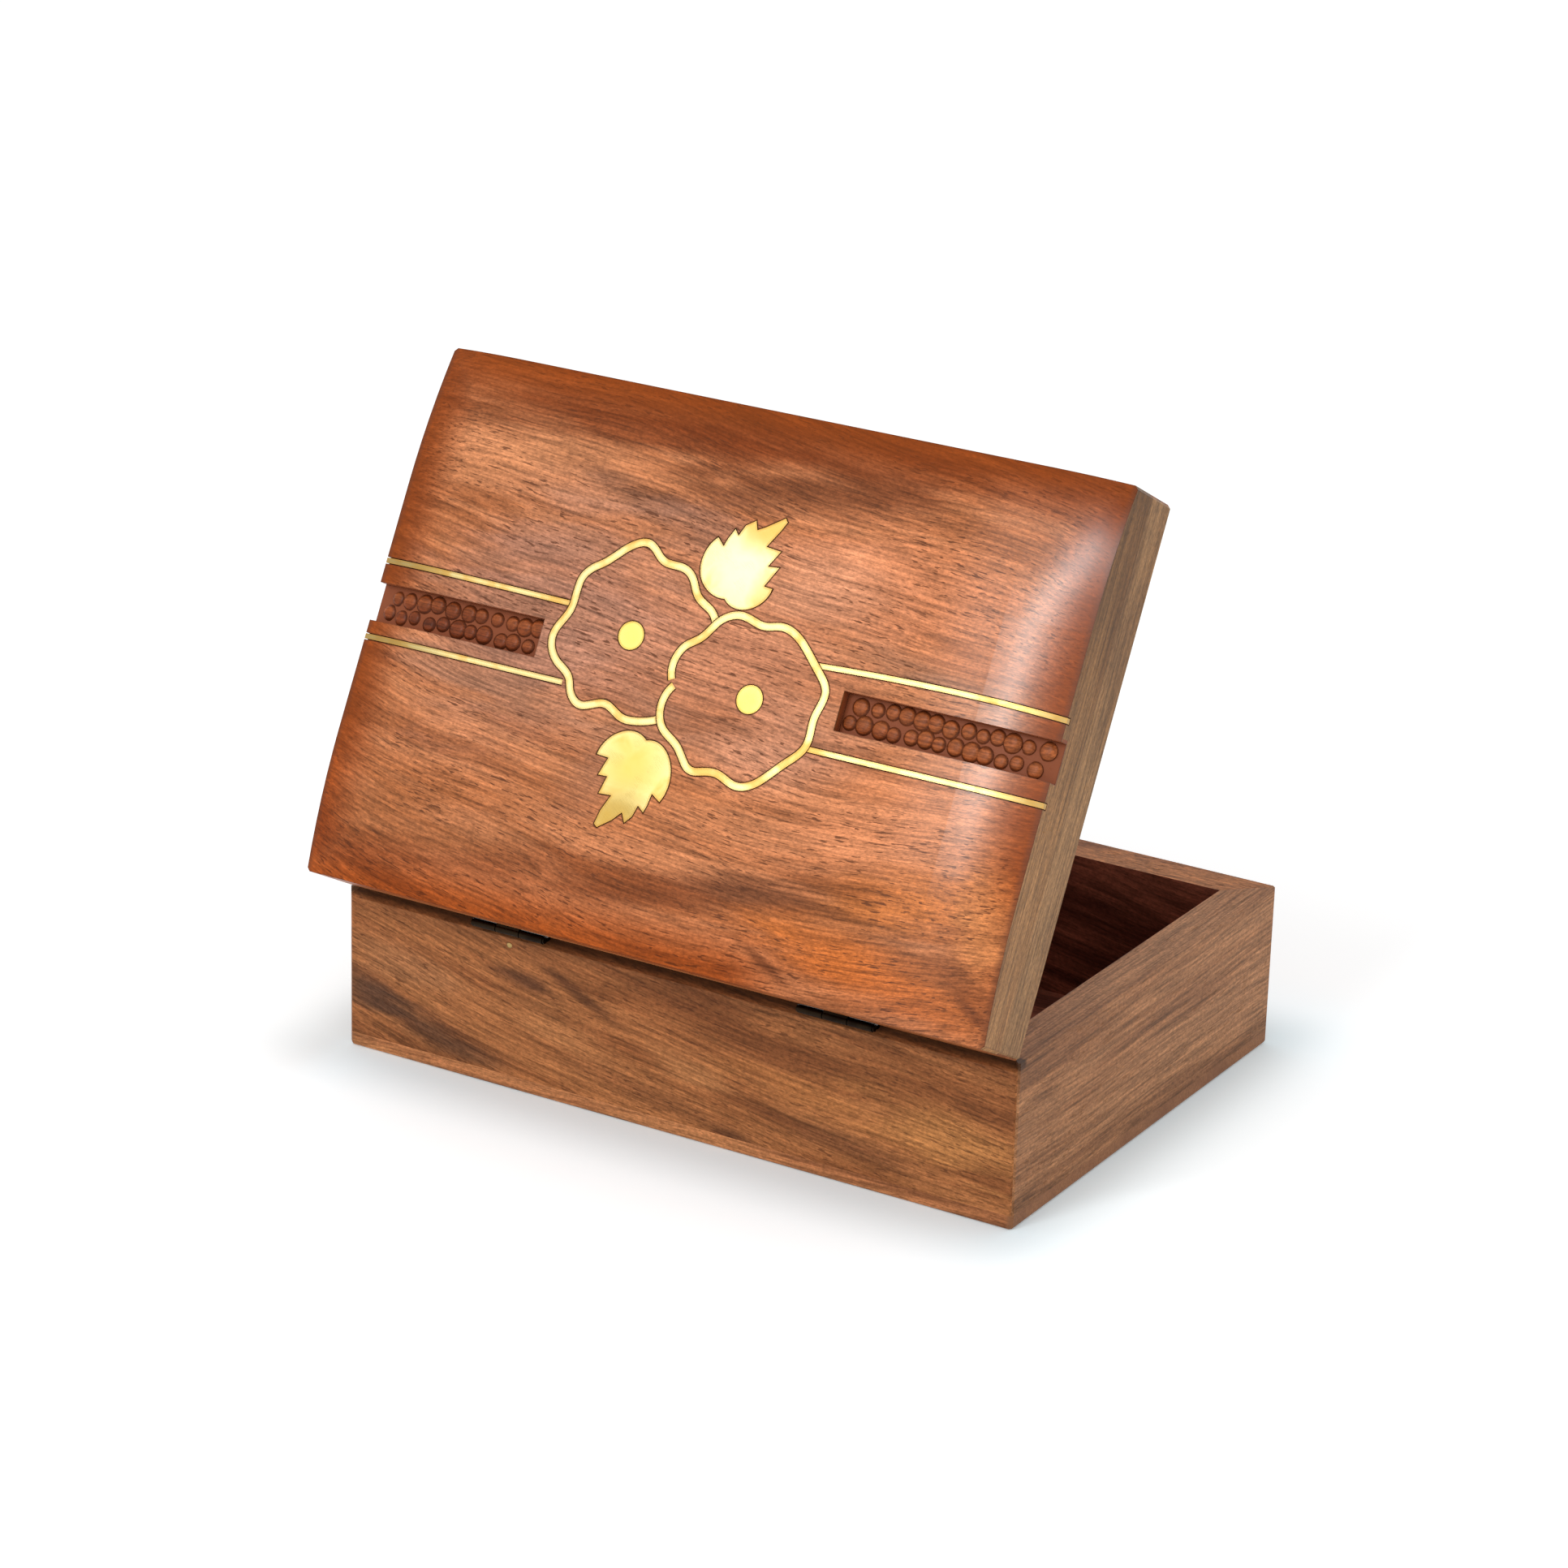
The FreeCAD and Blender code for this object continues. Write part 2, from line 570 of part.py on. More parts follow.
doc.recompute()
for thing in doc.Objects:
    if {"Invalid", "Error"} & set(thing.State):
        raise RuntimeError(f"{thing.Label} did not rebuild: {thing.State}")
for sub_part in nodes:
    if sub_part.Shape.isNull() or not sub_part.Shape.isValid():
        raise RuntimeError(f"{sub_part.Label} has no valid shape")
os.makedirs("parts", exist_ok=True)
for sub_part in nodes:
    sub_part.Shape.exportStep(f"parts/{sub_part.Label}.step")
    print(f"{sub_part.Label}: {len(sub_part.Shape.Solids)} solids, {sub_part.Shape.Volume:.1f} mm3")
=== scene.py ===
"""Brass-inlaid wooden box with a hinged, domed lid: finishes, carved bosses and hinge screws."""
from math import cos, pi, radians, sin

import bmesh
import bpy
from mathutils import Matrix, Quaternion, Vector


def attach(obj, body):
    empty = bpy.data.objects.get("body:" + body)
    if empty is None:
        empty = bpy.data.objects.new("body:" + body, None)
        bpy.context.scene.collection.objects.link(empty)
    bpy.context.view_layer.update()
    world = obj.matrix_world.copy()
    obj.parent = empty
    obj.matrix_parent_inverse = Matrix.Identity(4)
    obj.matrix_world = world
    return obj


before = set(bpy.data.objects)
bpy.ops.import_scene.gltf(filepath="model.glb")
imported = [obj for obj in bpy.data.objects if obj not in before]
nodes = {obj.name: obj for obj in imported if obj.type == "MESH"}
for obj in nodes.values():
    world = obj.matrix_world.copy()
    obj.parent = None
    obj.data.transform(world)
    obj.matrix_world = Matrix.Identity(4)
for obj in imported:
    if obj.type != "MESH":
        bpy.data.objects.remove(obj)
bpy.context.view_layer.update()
scene = bpy.context.scene
scene.view_settings.view_transform = "Standard"

MM = 0.001

# Sizes of the box in millimetres, as the solids have them.
HALF_LENGTH = 89.0
HALF_DEPTH = 62.75
WALL = 10.0
BASE_INSIDE_FOOT = 3.0
RIM_HEIGHT = 40.0
AXIS_BACK = 63.75
LID_OPEN = radians(62.0)
LID_CROWN = 24.0
LID_INSIDE_TOP = 10.3
LID_OUTSIDE_FOOT = 12.0
END_SHOULDER_START = 69.0
END_SHOULDER_RADIUS = 81.25
BAND_DEPTH = 2.6
BAND_MIDDLE = -0.75
BAND_HALF_WIDTH = 4.5
BAND_CLEAR_OF_FLOWERS = 36.0
HINGE_PLACE = 43.5


# Shader nodes

def put(tree, kind, values=None, **settings):
    """Adds a node, sets its properties, and fills or links its inputs."""
    made = tree.nodes.new(kind)
    for key, setting in settings.items():
        setattr(made, key, setting)
    for key, given in (values or {}).items():
        if isinstance(given, bpy.types.NodeSocket):
            tree.links.new(given, made.inputs[key])
        else:
            made.inputs[key].default_value = given
    return made


def reckon(tree, operation, first, second=0.0, third=0.0, clamp=False):
    """One step of arithmetic."""
    made = put(tree, "ShaderNodeMath", {0: first, 1: second, 2: third}, operation=operation)
    made.use_clamp = clamp
    return made.outputs[0]


def remap(tree, given, low, high, new_low=0.0, new_high=1.0, kind="SMOOTHSTEP"):
    """A value brought from one range to another, without going past its ends."""
    values = {"Value": given, "From Min": low, "From Max": high, "To Min": new_low, "To Max": new_high}
    return put(tree, "ShaderNodeMapRange", values, interpolation_type=kind).outputs[0]


def tint(tree, share, under, over, blend="MIX"):
    """One colour laid over another by a share of 0 to 1."""
    made = put(tree, "ShaderNodeMix", {0: share, 6: under, 7: over}, data_type="RGBA", blend_type=blend)
    return made.outputs[2]


def stretched_noise(tree, vector, scale, detail=2.0, distortion=0.0, roughness=0.5):
    """Noise whose size differs along each direction; scale is in cycles per millimetre."""
    placed = put(tree, "ShaderNodeMapping", {"Vector": vector, "Scale": scale})
    values = {"Vector": placed.outputs[0], "Scale": 1.0, "Detail": detail, "Distortion": distortion,
              "Roughness": roughness}
    return put(tree, "ShaderNodeTexNoise", values).outputs[0]


def parts_of(tree, vector):
    """The three parts of a vector."""
    return put(tree, "ShaderNodeSeparateXYZ", {0: vector}).outputs


def new_group(name, inputs, outputs):
    """A shader node group with named sockets; returns its tree, its inputs and its output node."""
    tree = bpy.data.node_groups.new(name, "ShaderNodeTree")
    for label, kind, start in inputs:
        socket = tree.interface.new_socket(label, in_out="INPUT", socket_type=f"NodeSocket{kind}")
        socket.default_value = start
    for label, kind in outputs:
        tree.interface.new_socket(label, in_out="OUTPUT", socket_type=f"NodeSocket{kind}")
    return tree, put(tree, "NodeGroupInput").outputs, put(tree, "NodeGroupOutput")


def wood_figure_group():
    """Hardwood whose fibres run along X: smoky streaks, fine fibres and short dark pores."""
    inputs = [
        ("Vector", "Vector", (0, 0, 0)),
        ("Dark", "Color", (0.16, 0.05, 0.02, 1)),
        ("Middle", "Color", (0.4, 0.15, 0.06, 1)),
        ("Light", "Color", (0.6, 0.27, 0.12, 1)),
        ("Wander", "Float", 6.0),
        ("Streaks", "Float", 0.5),
        ("Pores", "Float", 0.6),
        ("Fine", "Float", 1.0),
    ]
    outputs = [
        ("Color", "Color"),
        ("Shade", "Color"),
        ("Pores", "Float"),
        ("Streak", "Float"),
        ("Height", "Float"),
    ]
    tree, given, out = new_group("wood_figure", inputs, outputs)
    # The fibres wander sideways over the length of the board.
    drift = stretched_noise(tree, given["Vector"], (0.011, 0.018, 0.018), 1.5)
    drift = reckon(tree, "MULTIPLY", reckon(tree, "SUBTRACT", drift, 0.5), given["Wander"])
    shift = put(tree, "ShaderNodeCombineXYZ", {1: drift, 2: drift}).outputs[0]
    fibre = put(tree, "ShaderNodeVectorMath", {0: given["Vector"], 1: shift}, operation="ADD").outputs[0]
    broad = stretched_noise(tree, fibre, (0.010, 0.075, 0.075), 3.0, 0.5)
    narrow = stretched_noise(tree, fibre, (0.022, 0.42, 0.42), 3.0, 0.3)
    fine = stretched_noise(tree, fibre, (0.05, 1.4, 1.4), 3.0, 0.2, 0.65)
    specks = stretched_noise(tree, fibre, (0.9, 1.7, 1.7), 2.0, 0.0, 0.7)
    pore_lines = stretched_noise(tree, fibre, (0.30, 2.1, 2.1), 1.0, 0.3)
    pore_fields = stretched_noise(tree, fibre, (0.03, 0.10, 0.10), 2.0)
    streak = reckon(tree, "MULTIPLY_ADD", reckon(tree, "SUBTRACT", narrow, 0.5), 0.55, broad)
    pale = remap(tree, streak, 0.36, 0.66)
    deep = reckon(tree, "MULTIPLY", remap(tree, streak, 0.50, 0.30), given["Streaks"])
    colour = tint(tree, pale, given["Middle"], given["Light"])
    colour = tint(tree, deep, colour, given["Dark"])
    grey = reckon(tree, "MULTIPLY", remap(tree, fine, 0.3, 0.7, 0.52, 1.48, "LINEAR"),
                  remap(tree, specks, 0.3, 0.7, 0.72, 1.30, "LINEAR"))
    shade = put(tree, "ShaderNodeCombineColor", {0: grey, 1: grey, 2: grey}).outputs[0]
    colour = tint(tree, given["Fine"], colour, tint(tree, 1.0, colour, shade, "MULTIPLY"))
    in_field = remap(tree, pore_fields, 0.34, 0.54)
    pores = reckon(tree, "MULTIPLY", remap(tree, pore_lines, 0.61, 0.68), in_field)
    colour = tint(tree, reckon(tree, "MULTIPLY", pores, given["Pores"], clamp=True), colour, given["Dark"])
    height = reckon(tree, "MULTIPLY_ADD", pores, -1.0, reckon(tree, "MULTIPLY", fine, 0.25))
    made = {"Color": colour, "Shade": shade, "Pores": pores, "Streak": streak, "Height": height}
    for label, socket in made.items():
        tree.links.new(socket, out.inputs[label])
    return tree


def smoke_group():
    """A soft ragged cloud in the wood: 1 in its middle, 0 outside an ellipse."""
    inputs = [
        ("Vector", "Vector", (0, 0, 0)),
        ("Centre", "Vector", (0, 0, 0)),
        ("Size", "Vector", (20, 8, 20)),
        ("Turn", "Float", 0.0),
        ("Ragged", "Float", 0.5),
    ]
    tree, given, out = new_group("smoke", inputs, [("Mask", "Float")])
    from_centre = put(tree, "ShaderNodeVectorMath", {0: given["Vector"], 1: given["Centre"]},
                      operation="SUBTRACT").outputs[0]
    aligned = put(tree, "ShaderNodeVectorRotate", {"Vector": from_centre, "Angle": given["Turn"]},
                  rotation_type="Z_AXIS").outputs[0]
    sized = put(tree, "ShaderNodeVectorMath", {0: aligned, 1: given["Size"]}, operation="DIVIDE").outputs[0]
    distance = put(tree, "ShaderNodeVectorMath", {0: sized}, operation="LENGTH").outputs["Value"]
    rough = stretched_noise(tree, given["Vector"], (0.03, 0.16, 0.16), 3.0, 0.6)
    reach = reckon(tree, "MULTIPLY", given["Ragged"], 3.0)
    wobble = reckon(tree, "MULTIPLY", reckon(tree, "SUBTRACT", rough, 0.5), reach)
    mask = remap(tree, reckon(tree, "ADD", distance, wobble), 1.15, 0.1)
    tree.links.new(mask, out.inputs["Mask"])
    return tree


def inside_group():
    """1 on faces that look into the box or the lid, 0 elsewhere."""
    tree, given, out = new_group("inside", [("Vector", "Vector", (0, 0, 0))], [("Mask", "Float")])
    x, y, _ = parts_of(tree, given["Vector"])
    past_x = reckon(tree, "SUBTRACT", reckon(tree, "ABSOLUTE", x), HALF_LENGTH - WALL)
    past_y = reckon(tree, "SUBTRACT", reckon(tree, "ABSOLUTE", y), HALF_DEPTH - WALL)
    mask = remap(tree, reckon(tree, "MAXIMUM", past_x, past_y), 0.10, 0.04, kind="LINEAR")
    tree.links.new(mask, out.inputs["Mask"])
    return tree


def brass_wear_group():
    """Filed and rubbed brass: cloudy tarnish and fine scratches."""
    inputs = [
        ("Vector", "Vector", (0, 0, 0)),
        ("Bright", "Color", (0.95, 0.75, 0.3, 1)),
        ("Dull", "Color", (0.7, 0.46, 0.12, 1)),
        ("Tarnish", "Float", 0.5),
    ]
    outputs = [("Color", "Color"), ("Roughness", "Float"), ("Height", "Float")]
    tree, given, out = new_group("brass_wear", inputs, outputs)
    cloud = stretched_noise(tree, given["Vector"], (0.14, 0.14, 0.14), 3.0, 0.4)
    scratches = stretched_noise(tree, given["Vector"], (0.5, 6.0, 6.0), 2.0, 0.2)
    dull = reckon(tree, "MULTIPLY", remap(tree, cloud, 0.42, 0.68), given["Tarnish"])
    colour = tint(tree, dull, given["Bright"], given["Dull"])
    rough = reckon(tree, "MULTIPLY_ADD", scratches, 0.14, remap(tree, cloud, 0.3, 0.7, 0.20, 0.34))
    for label, socket in {"Color": colour, "Roughness": rough, "Height": scratches}.items():
        tree.links.new(socket, out.inputs[label])
    return tree


WOOD_FIGURE = wood_figure_group()
SMOKE = smoke_group()
INSIDE = inside_group()
BRASS_WEAR = brass_wear_group()


def place_group(tree, group, values):
    """A group placed in a material; returns its outputs."""
    return put(tree, "ShaderNodeGroup", values, node_tree=group).outputs


def new_material(name):
    """An empty material with a Principled shader; returns it with its tree and shader."""
    material = bpy.data.materials.new(name)
    material.use_nodes = True
    tree = material.node_tree
    return material, tree, tree.nodes["Principled BSDF"]


def millimetres(tree, turn=(0, 0, 0), shift=(0, 0, 0)):
    """Object coordinates in millimetres, turned and then shifted."""
    coordinates = put(tree, "ShaderNodeTexCoord")
    values = {"Vector": coordinates.outputs["Object"], "Scale": (1000, 1000, 1000), "Rotation": turn,
              "Location": shift}
    return put(tree, "ShaderNodeMapping", values).outputs[0]


def lid_millimetres(tree):
    """Object coordinates with the lid laid shut, from the middle of its rim."""
    to_shut = Matrix.Rotation(LID_OPEN, 3, "X")
    shift = -(to_shut @ Vector((0, AXIS_BACK, RIM_HEIGHT))) + Vector((0, AXIS_BACK, 0))
    return millimetres(tree, (LID_OPEN, 0, 0), shift)


def turned(tree, vector, turn, shift=(0, 0, 0)):
    """Coordinates turned and then shifted, so that the fibres run another way or lie elsewhere."""
    values = {"Vector": vector, "Rotation": turn, "Location": shift}
    return put(tree, "ShaderNodeMapping", values).outputs[0]


def leaning_fibres(tree, vector):
    """Lid coordinates bent so that the fibres lean across one end of the lid and level out at the other."""
    x, y, z = parts_of(tree, vector)
    # The lean is a slope that changes along and across the lid.
    bend = reckon(tree, "MULTIPLY_ADD", y, 0.0000198, 0.000625)
    lean_at_middle = reckon(tree, "MULTIPLY_ADD", y, -0.000375, 0.085)
    lean = reckon(tree, "MULTIPLY_ADD", x, bend, lean_at_middle)
    across = reckon(tree, "MULTIPLY_ADD", x, lean, y)
    return put(tree, "ShaderNodeCombineXYZ", {0: x, 1: across, 2: z}).outputs[0]


def rising_fibres(tree, vector):
    """Wall coordinates bent so that the fibres rise along X, more towards one end."""
    x, y, z = parts_of(tree, vector)
    slope = reckon(tree, "MULTIPLY_ADD", x, 0.00045, 0.16)
    level = reckon(tree, "SUBTRACT", z, reckon(tree, "MULTIPLY", slope, x))
    return put(tree, "ShaderNodeCombineXYZ", {0: x, 1: y, 2: level}).outputs[0]


def roughen(tree, shader, height, strength, depth):
    """Lets fine relief of a depth in millimetres catch the light."""
    bump = put(tree, "ShaderNodeBump", {"Height": height, "Strength": strength, "Distance": depth * MM})
    tree.links.new(bump.outputs[0], shader.inputs["Normal"])


def finish_wood(tree, shader, colour, grain, rough, coat=0.04, coat_rough=0.27):
    """Satin polish over open pores; rough is for the plain wood and for the pores."""
    tree.links.new(colour, shader.inputs["Base Color"])
    tree.links.new(remap(tree, grain["Pores"], 0.0, 1.0, *rough, "LINEAR"), shader.inputs["Roughness"])
    shader.inputs["Specular IOR Level"].default_value = 0.1
    shader.inputs["Coat Weight"].default_value = coat
    shader.inputs["Coat Roughness"].default_value = coat_rough
    roughen(tree, shader, grain["Height"], 0.35, 0.12)


def along_edges(tree, radius, near, at_edge):
    """1 along a piece's edges, 0 on its open faces, by how far a normal rounded over a radius leans."""
    rounded = put(tree, "ShaderNodeBevel", {"Radius": radius * MM}, samples=4).outputs[0]
    flat = put(tree, "ShaderNodeNewGeometry").outputs["Normal"]
    facing = put(tree, "ShaderNodeVectorMath", {0: rounded, 1: flat}, operation="DOT_PRODUCT")
    return remap(tree, facing.outputs["Value"], near, at_edge)


def grain_of(dark, middle, light, wander, streaks, pores, fine=1.0):
    """Colours of a wood, and how far its fibres wander and its streaks, pores and fine fibres show."""
    return {"Dark": (*dark, 1), "Middle": (*middle, 1), "Light": (*light, 1), "Wander": wander,
            "Streaks": streaks, "Pores": pores, "Fine": fine}


LID_TOP_GRAIN = grain_of((0.15, 0.045, 0.016), (0.44, 0.145, 0.052), (0.60, 0.225, 0.095),
                         wander=14.0, streaks=0.35, pores=0.0, fine=0.0)
LID_RAIL_GRAIN = grain_of((0.12, 0.038, 0.014), (0.35, 0.105, 0.031), (0.48, 0.16, 0.052),
                          wander=5.0, streaks=0.6, pores=0.6)
LID_END_GRAIN = grain_of((0.15, 0.075, 0.032), (0.26, 0.128, 0.050), (0.35, 0.185, 0.078),
                         wander=2.0, streaks=0.45, pores=0.25)
LONG_WALL_GRAIN = grain_of((0.10, 0.034, 0.013), (0.29, 0.10, 0.034), (0.42, 0.16, 0.056),
                           wander=9.0, streaks=0.35, pores=0.0, fine=0.0)
END_WALL_GRAIN = grain_of((0.14, 0.06, 0.03), (0.33, 0.142, 0.060), (0.42, 0.195, 0.088),
                          wander=5.0, streaks=0.4, pores=0.3)
BASE_GRAIN = grain_of((0.12, 0.04, 0.015), (0.42, 0.155, 0.060), (0.60, 0.245, 0.095),
                      wander=8.0, streaks=0.45, pores=0.4)
CARVED_GRAIN = grain_of((0.12, 0.026, 0.009), (0.26, 0.060, 0.016), (0.34, 0.095, 0.028),
                        wander=3.0, streaks=0.6, pores=0.4)


def wood_grain(tree, vector, grain):
    """A wood's figure on given coordinates."""
    return place_group(tree, WOOD_FIGURE, {"Vector": vector, **grain})


# Dark maroon of the inside, partly a dark finish and partly painted shade.
SHADED_MAROON = ((0.09, 0.025, 0.015, 1), (0.25, 0.075, 0.042, 1))
ALONG_Y = (0, 0, pi / 2)

# Where in the figure a board is cut from, so that boards differ.
END_WALL_CUT = (400, 30, 0)
BASE_CUT = (210, 0, 60)

LID_CLOUD_DEPTH = 40.0
WALL_CLOUD_DEPTH = 60.0

# Lid top: soft clouds by centre, half sizes, turn and raggedness, each with its colour and strength; most
# are the wood's figure, and the marked ones are painted highlight and painted shade.
LID_SMOKES = [
    ((2, -8), (62, 30), 0.0, 0.2, (0.60, 0.255, 0.145), 0.6),
    ((44, -4), (42, 32), -8.0, 0.4, (0.43, 0.215, 0.15), 0.66),
    ((58, -42), (36, 12), -12.0, 0.5, (0.66, 0.27, 0.12), 0.7),
    ((-48, -30), (50, 18), 8.0, 0.5, (0.72, 0.26, 0.115), 0.75),
    ((-24, -26), (26, 12), -8.0, 0.4, (0.80, 0.36, 0.20), 0.65),
    ((-24, 12), (22, 13), -10.0, 0.4, (0.74, 0.34, 0.20), 0.6),
    ((-58, 22), (44, 14), -10.0, 0.5, (0.74, 0.275, 0.12), 0.75),
    ((-62, 38), (36, 9), -16.0, 0.6, (0.62, 0.185, 0.04), 0.8),
    ((8, 30), (50, 9), -10.0, 0.6, (0.55, 0.19, 0.07), 0.6),
    ((18, 27), (15, 9), -30.0, 0.6, (0.30, 0.13, 0.075), 0.55),
    ((70, 44), (28, 13), -10.0, 0.5, (0.32, 0.10, 0.03), 0.7),
    ((52, 12), (30, 7), 4.0, 0.6, (0.30, 0.135, 0.075), 0.6),
    ((14, -53), (84, 9), -2.0, 0.6, (0.20, 0.042, 0.008), 0.85),
    ((30, -38), (30, 5), 16.0, 0.7, (0.20, 0.075, 0.035), 0.75),
    ((-8, -45), (42, 8), -6.0, 0.6, (0.19, 0.055, 0.018), 0.85),
    ((-58, -11), (30, 4), 10.0, 0.6, (0.30, 0.15, 0.09), 0.6),
    ((48, -8), (26, 5), 0.0, 0.6, (0.30, 0.12, 0.06), 0.45),
    ((-20, 44), (44, 5), -12.0, 0.7, (0.20, 0.055, 0.018), 0.7),
    ((36, 50), (56, 7), -6.0, 0.6, (0.24, 0.06, 0.016), 0.7),
    ((-42, 56), (34, 4), -14.0, 0.6, (0.30, 0.08, 0.02), 0.5),
    ((-82, -56), (22, 14), 0.0, 0.4, (0.34, 0.10, 0.035), 0.6),
    ((-84, 44), (14, 26), 0.0, 0.4, (0.46, 0.14, 0.04), 0.6),
    ((42, -24), (18, 9), 6.0, 0.5, (0.40, 0.18, 0.11), 0.5),
    ((8, -33), (20, 8), 0.0, 0.5, (0.40, 0.185, 0.115), 0.55),
    # Painted highlight on the falling end near the hinge-side corner.
    ((-84, 34), (9, 16), 0.0, 0.4, (0.84, 0.34, 0.12), 0.75),
    ((-80, 50), (10, 5), 30.0, 0.5, (0.24, 0.075, 0.028), 0.6),
    ((50, 47), (24, 6), -10.0, 0.6, (0.30, 0.10, 0.034), 0.6),
    ((41, -35), (26, 8), 0.0, 0.5, (0.46, 0.22, 0.14), 0.4),
    ((14, 14), (18, 9), -14.0, 0.5, (0.38, 0.18, 0.105), 0.5),
    ((-34, 43), (38, 4.5), 2.0, 0.5, (0.17, 0.058, 0.024), 0.75),
    ((-55, 53), (32, 8), 8.0, 0.3, (0.66, 0.175, 0.035), 0.85),
    # The next two thin dark lines are the painted shade of a crease.
    ((-34, 57), (11, 1.8), 27.0, 0.2, (0.14, 0.042, 0.015), 0.75),
    ((-85, 56), (7, 1.8), 30.0, 0.2, (0.15, 0.048, 0.02), 0.7),
]

# Hinge-side wall: clouds in the same way, with the second measure up the wall.
BACK_SMOKES = [
    # The first cloud is painted shade under the open lid along the wall's top.
    ((0, 38), (130, 6), 0.0, 0.5, (0.11, 0.044, 0.018), 0.4),
    ((68, 10), (28, 5), -14.0, 0.5, (0.075, 0.036, 0.022), 0.8),
    ((39, 28), (12, 3), -9.0, 0.5, (0.07, 0.028, 0.016), 0.75),
    ((26, 29), (16, 2.2), -25.0, 0.3, (0.075, 0.027, 0.013), 0.75),
    ((35, 19), (20, 6), -13.0, 0.6, (0.46, 0.19, 0.07), 0.6),
    ((72, 24), (22, 7), -14.0, 0.5, (0.42, 0.18, 0.075), 0.6),
    ((-5, 17), (15, 5), -12.0, 0.6, (0.54, 0.23, 0.085), 0.65),
    ((-36, 19), (28, 6), -6.0, 0.6, (0.48, 0.185, 0.058), 0.65),
    ((-70, 18), (28, 9), -9.0, 0.6, (0.56, 0.235, 0.075), 0.8),
    ((-50, 9), (30, 4), -8.0, 0.6, (0.15, 0.055, 0.024), 0.55),
    ((4, 8), (26, 4), -8.0, 0.6, (0.16, 0.055, 0.022), 0.5),
    ((-30, 30), (34, 5), -10.0, 0.6, (0.17, 0.057, 0.02), 0.4),
    ((-20, 3), (12, 2.5), -10.0, 0.7, (0.08, 0.03, 0.015), 0.7),
    ((84, 15), (15, 6), -10.0, 0.3, (0.09, 0.044, 0.027), 0.75),
]


def lay_smokes(tree, vector, colour, smokes, level, depth):
    """Clouds of darker and lighter shade laid over a colour, at a level and with a half depth below it."""
    for centre, size, turn, ragged, shade, strength in smokes:
        values = {"Vector": vector, "Centre": (*centre, level), "Size": (*size, depth),
                  "Turn": radians(turn), "Ragged": ragged}
        mask = place_group(tree, SMOKE, values)["Mask"]
        colour = tint(tree, reckon(tree, "MULTIPLY", mask, strength), colour, (*shade, 1))
    return colour


def fall_of_shoulder(tree, x):
    """How far the lid's top falls at its ends, from the distance along X."""
    past = reckon(tree, "SUBTRACT", reckon(tree, "ABSOLUTE", x), END_SHOULDER_START)
    past = reckon(tree, "MAXIMUM", past, 0.0)
    return reckon(tree, "DIVIDE", reckon(tree, "MULTIPLY", past, past), 2 * END_SHOULDER_RADIUS)


def depth_below_crown(tree, x, z):
    """How deep a place lies under the lid's crown, with the fall of the ends taken off."""
    return reckon(tree, "SUBTRACT", reckon(tree, "SUBTRACT", LID_CROWN, z), fall_of_shoulder(tree, x))


def end_grain_colour(tree, vector):
    """Greyer straight-fibred wood of the lid's ends, with the fibres along Y, and painted light that grows
    towards the hinge side.
    """
    colour = wood_grain(tree, turned(tree, vector, ALONG_Y), LID_END_GRAIN)["Color"]
    # Painted light: the end faces are lighter towards the hinge side and darker towards the free edge.
    toward_hinge = remap(tree, parts_of(tree, vector)[1], -HALF_DEPTH, HALF_DEPTH, 0.0, 1.0, "LINEAR")
    light = tint(tree, toward_hinge, (0.54, 0.47, 0.36, 1), (1.3, 1.24, 1.16, 1))
    return tint(tree, 1.0, colour, light, "MULTIPLY")


def maroon_and_shade_inside(tree, vector, colour, grain, share=1.0):
    """The inside in dark maroon, partly a dark finish and partly painted shade, with the wood's streaks and
    fibres under it.
    """
    mask = reckon(tree, "MULTIPLY", place_group(tree, INSIDE, {"Vector": vector})["Mask"], share)
    finish_and_shade = tint(tree, remap(tree, grain["Streak"], 0.34, 0.66), *SHADED_MAROON)
    return tint(tree, mask, colour, tint(tree, 1.0, finish_and_shade, grain["Shade"], "MULTIPLY"))


def paint_edge_shade(tree, x, y, colour):
    """Painted shade, deeper and redder along the lid's edges where the top falls away, and weaker at one
    hinge-side corner.
    """
    to_long = reckon(tree, "SUBTRACT", HALF_DEPTH, reckon(tree, "ABSOLUTE", y))
    to_end = reckon(tree, "SUBTRACT", HALF_LENGTH, reckon(tree, "ABSOLUTE", x))
    edge = remap(tree, reckon(tree, "MINIMUM", to_long, to_end), 15.0, 0.0)
    to_hinges = remap(tree, y, 20.0, 45.0)
    edge_shade_lifted_corner = reckon(tree, "MULTIPLY", to_hinges, remap(tree, x, -22.0, -42.0, 0.0, 0.75))
    edge = reckon(tree, "MULTIPLY", edge, reckon(tree, "SUBTRACT", 1.0, edge_shade_lifted_corner))
    edge_shade_tint = tint(tree, to_hinges, (0.60, 0.29, 0.06, 1), (0.68, 0.36, 0.10, 1))
    colour = tint(tree, reckon(tree, "MULTIPLY", edge, 0.95), colour, edge_shade_tint, "MULTIPLY")
    reddened_edge_shade = reckon(tree, "MULTIPLY", edge, remap(tree, to_hinges, 0.0, 1.0, 0.58, 0.20))
    colour = tint(tree, reddened_edge_shade, colour, (0.26, 0.055, 0.004, 1))
    # Painted shade along the end arrises, where the top turns down.
    arris_shade = reckon(tree, "MULTIPLY", remap(tree, to_end, 1.8, 0.2), 0.6)
    return tint(tree, arris_shade, colour, (0.15, 0.045, 0.018, 1))


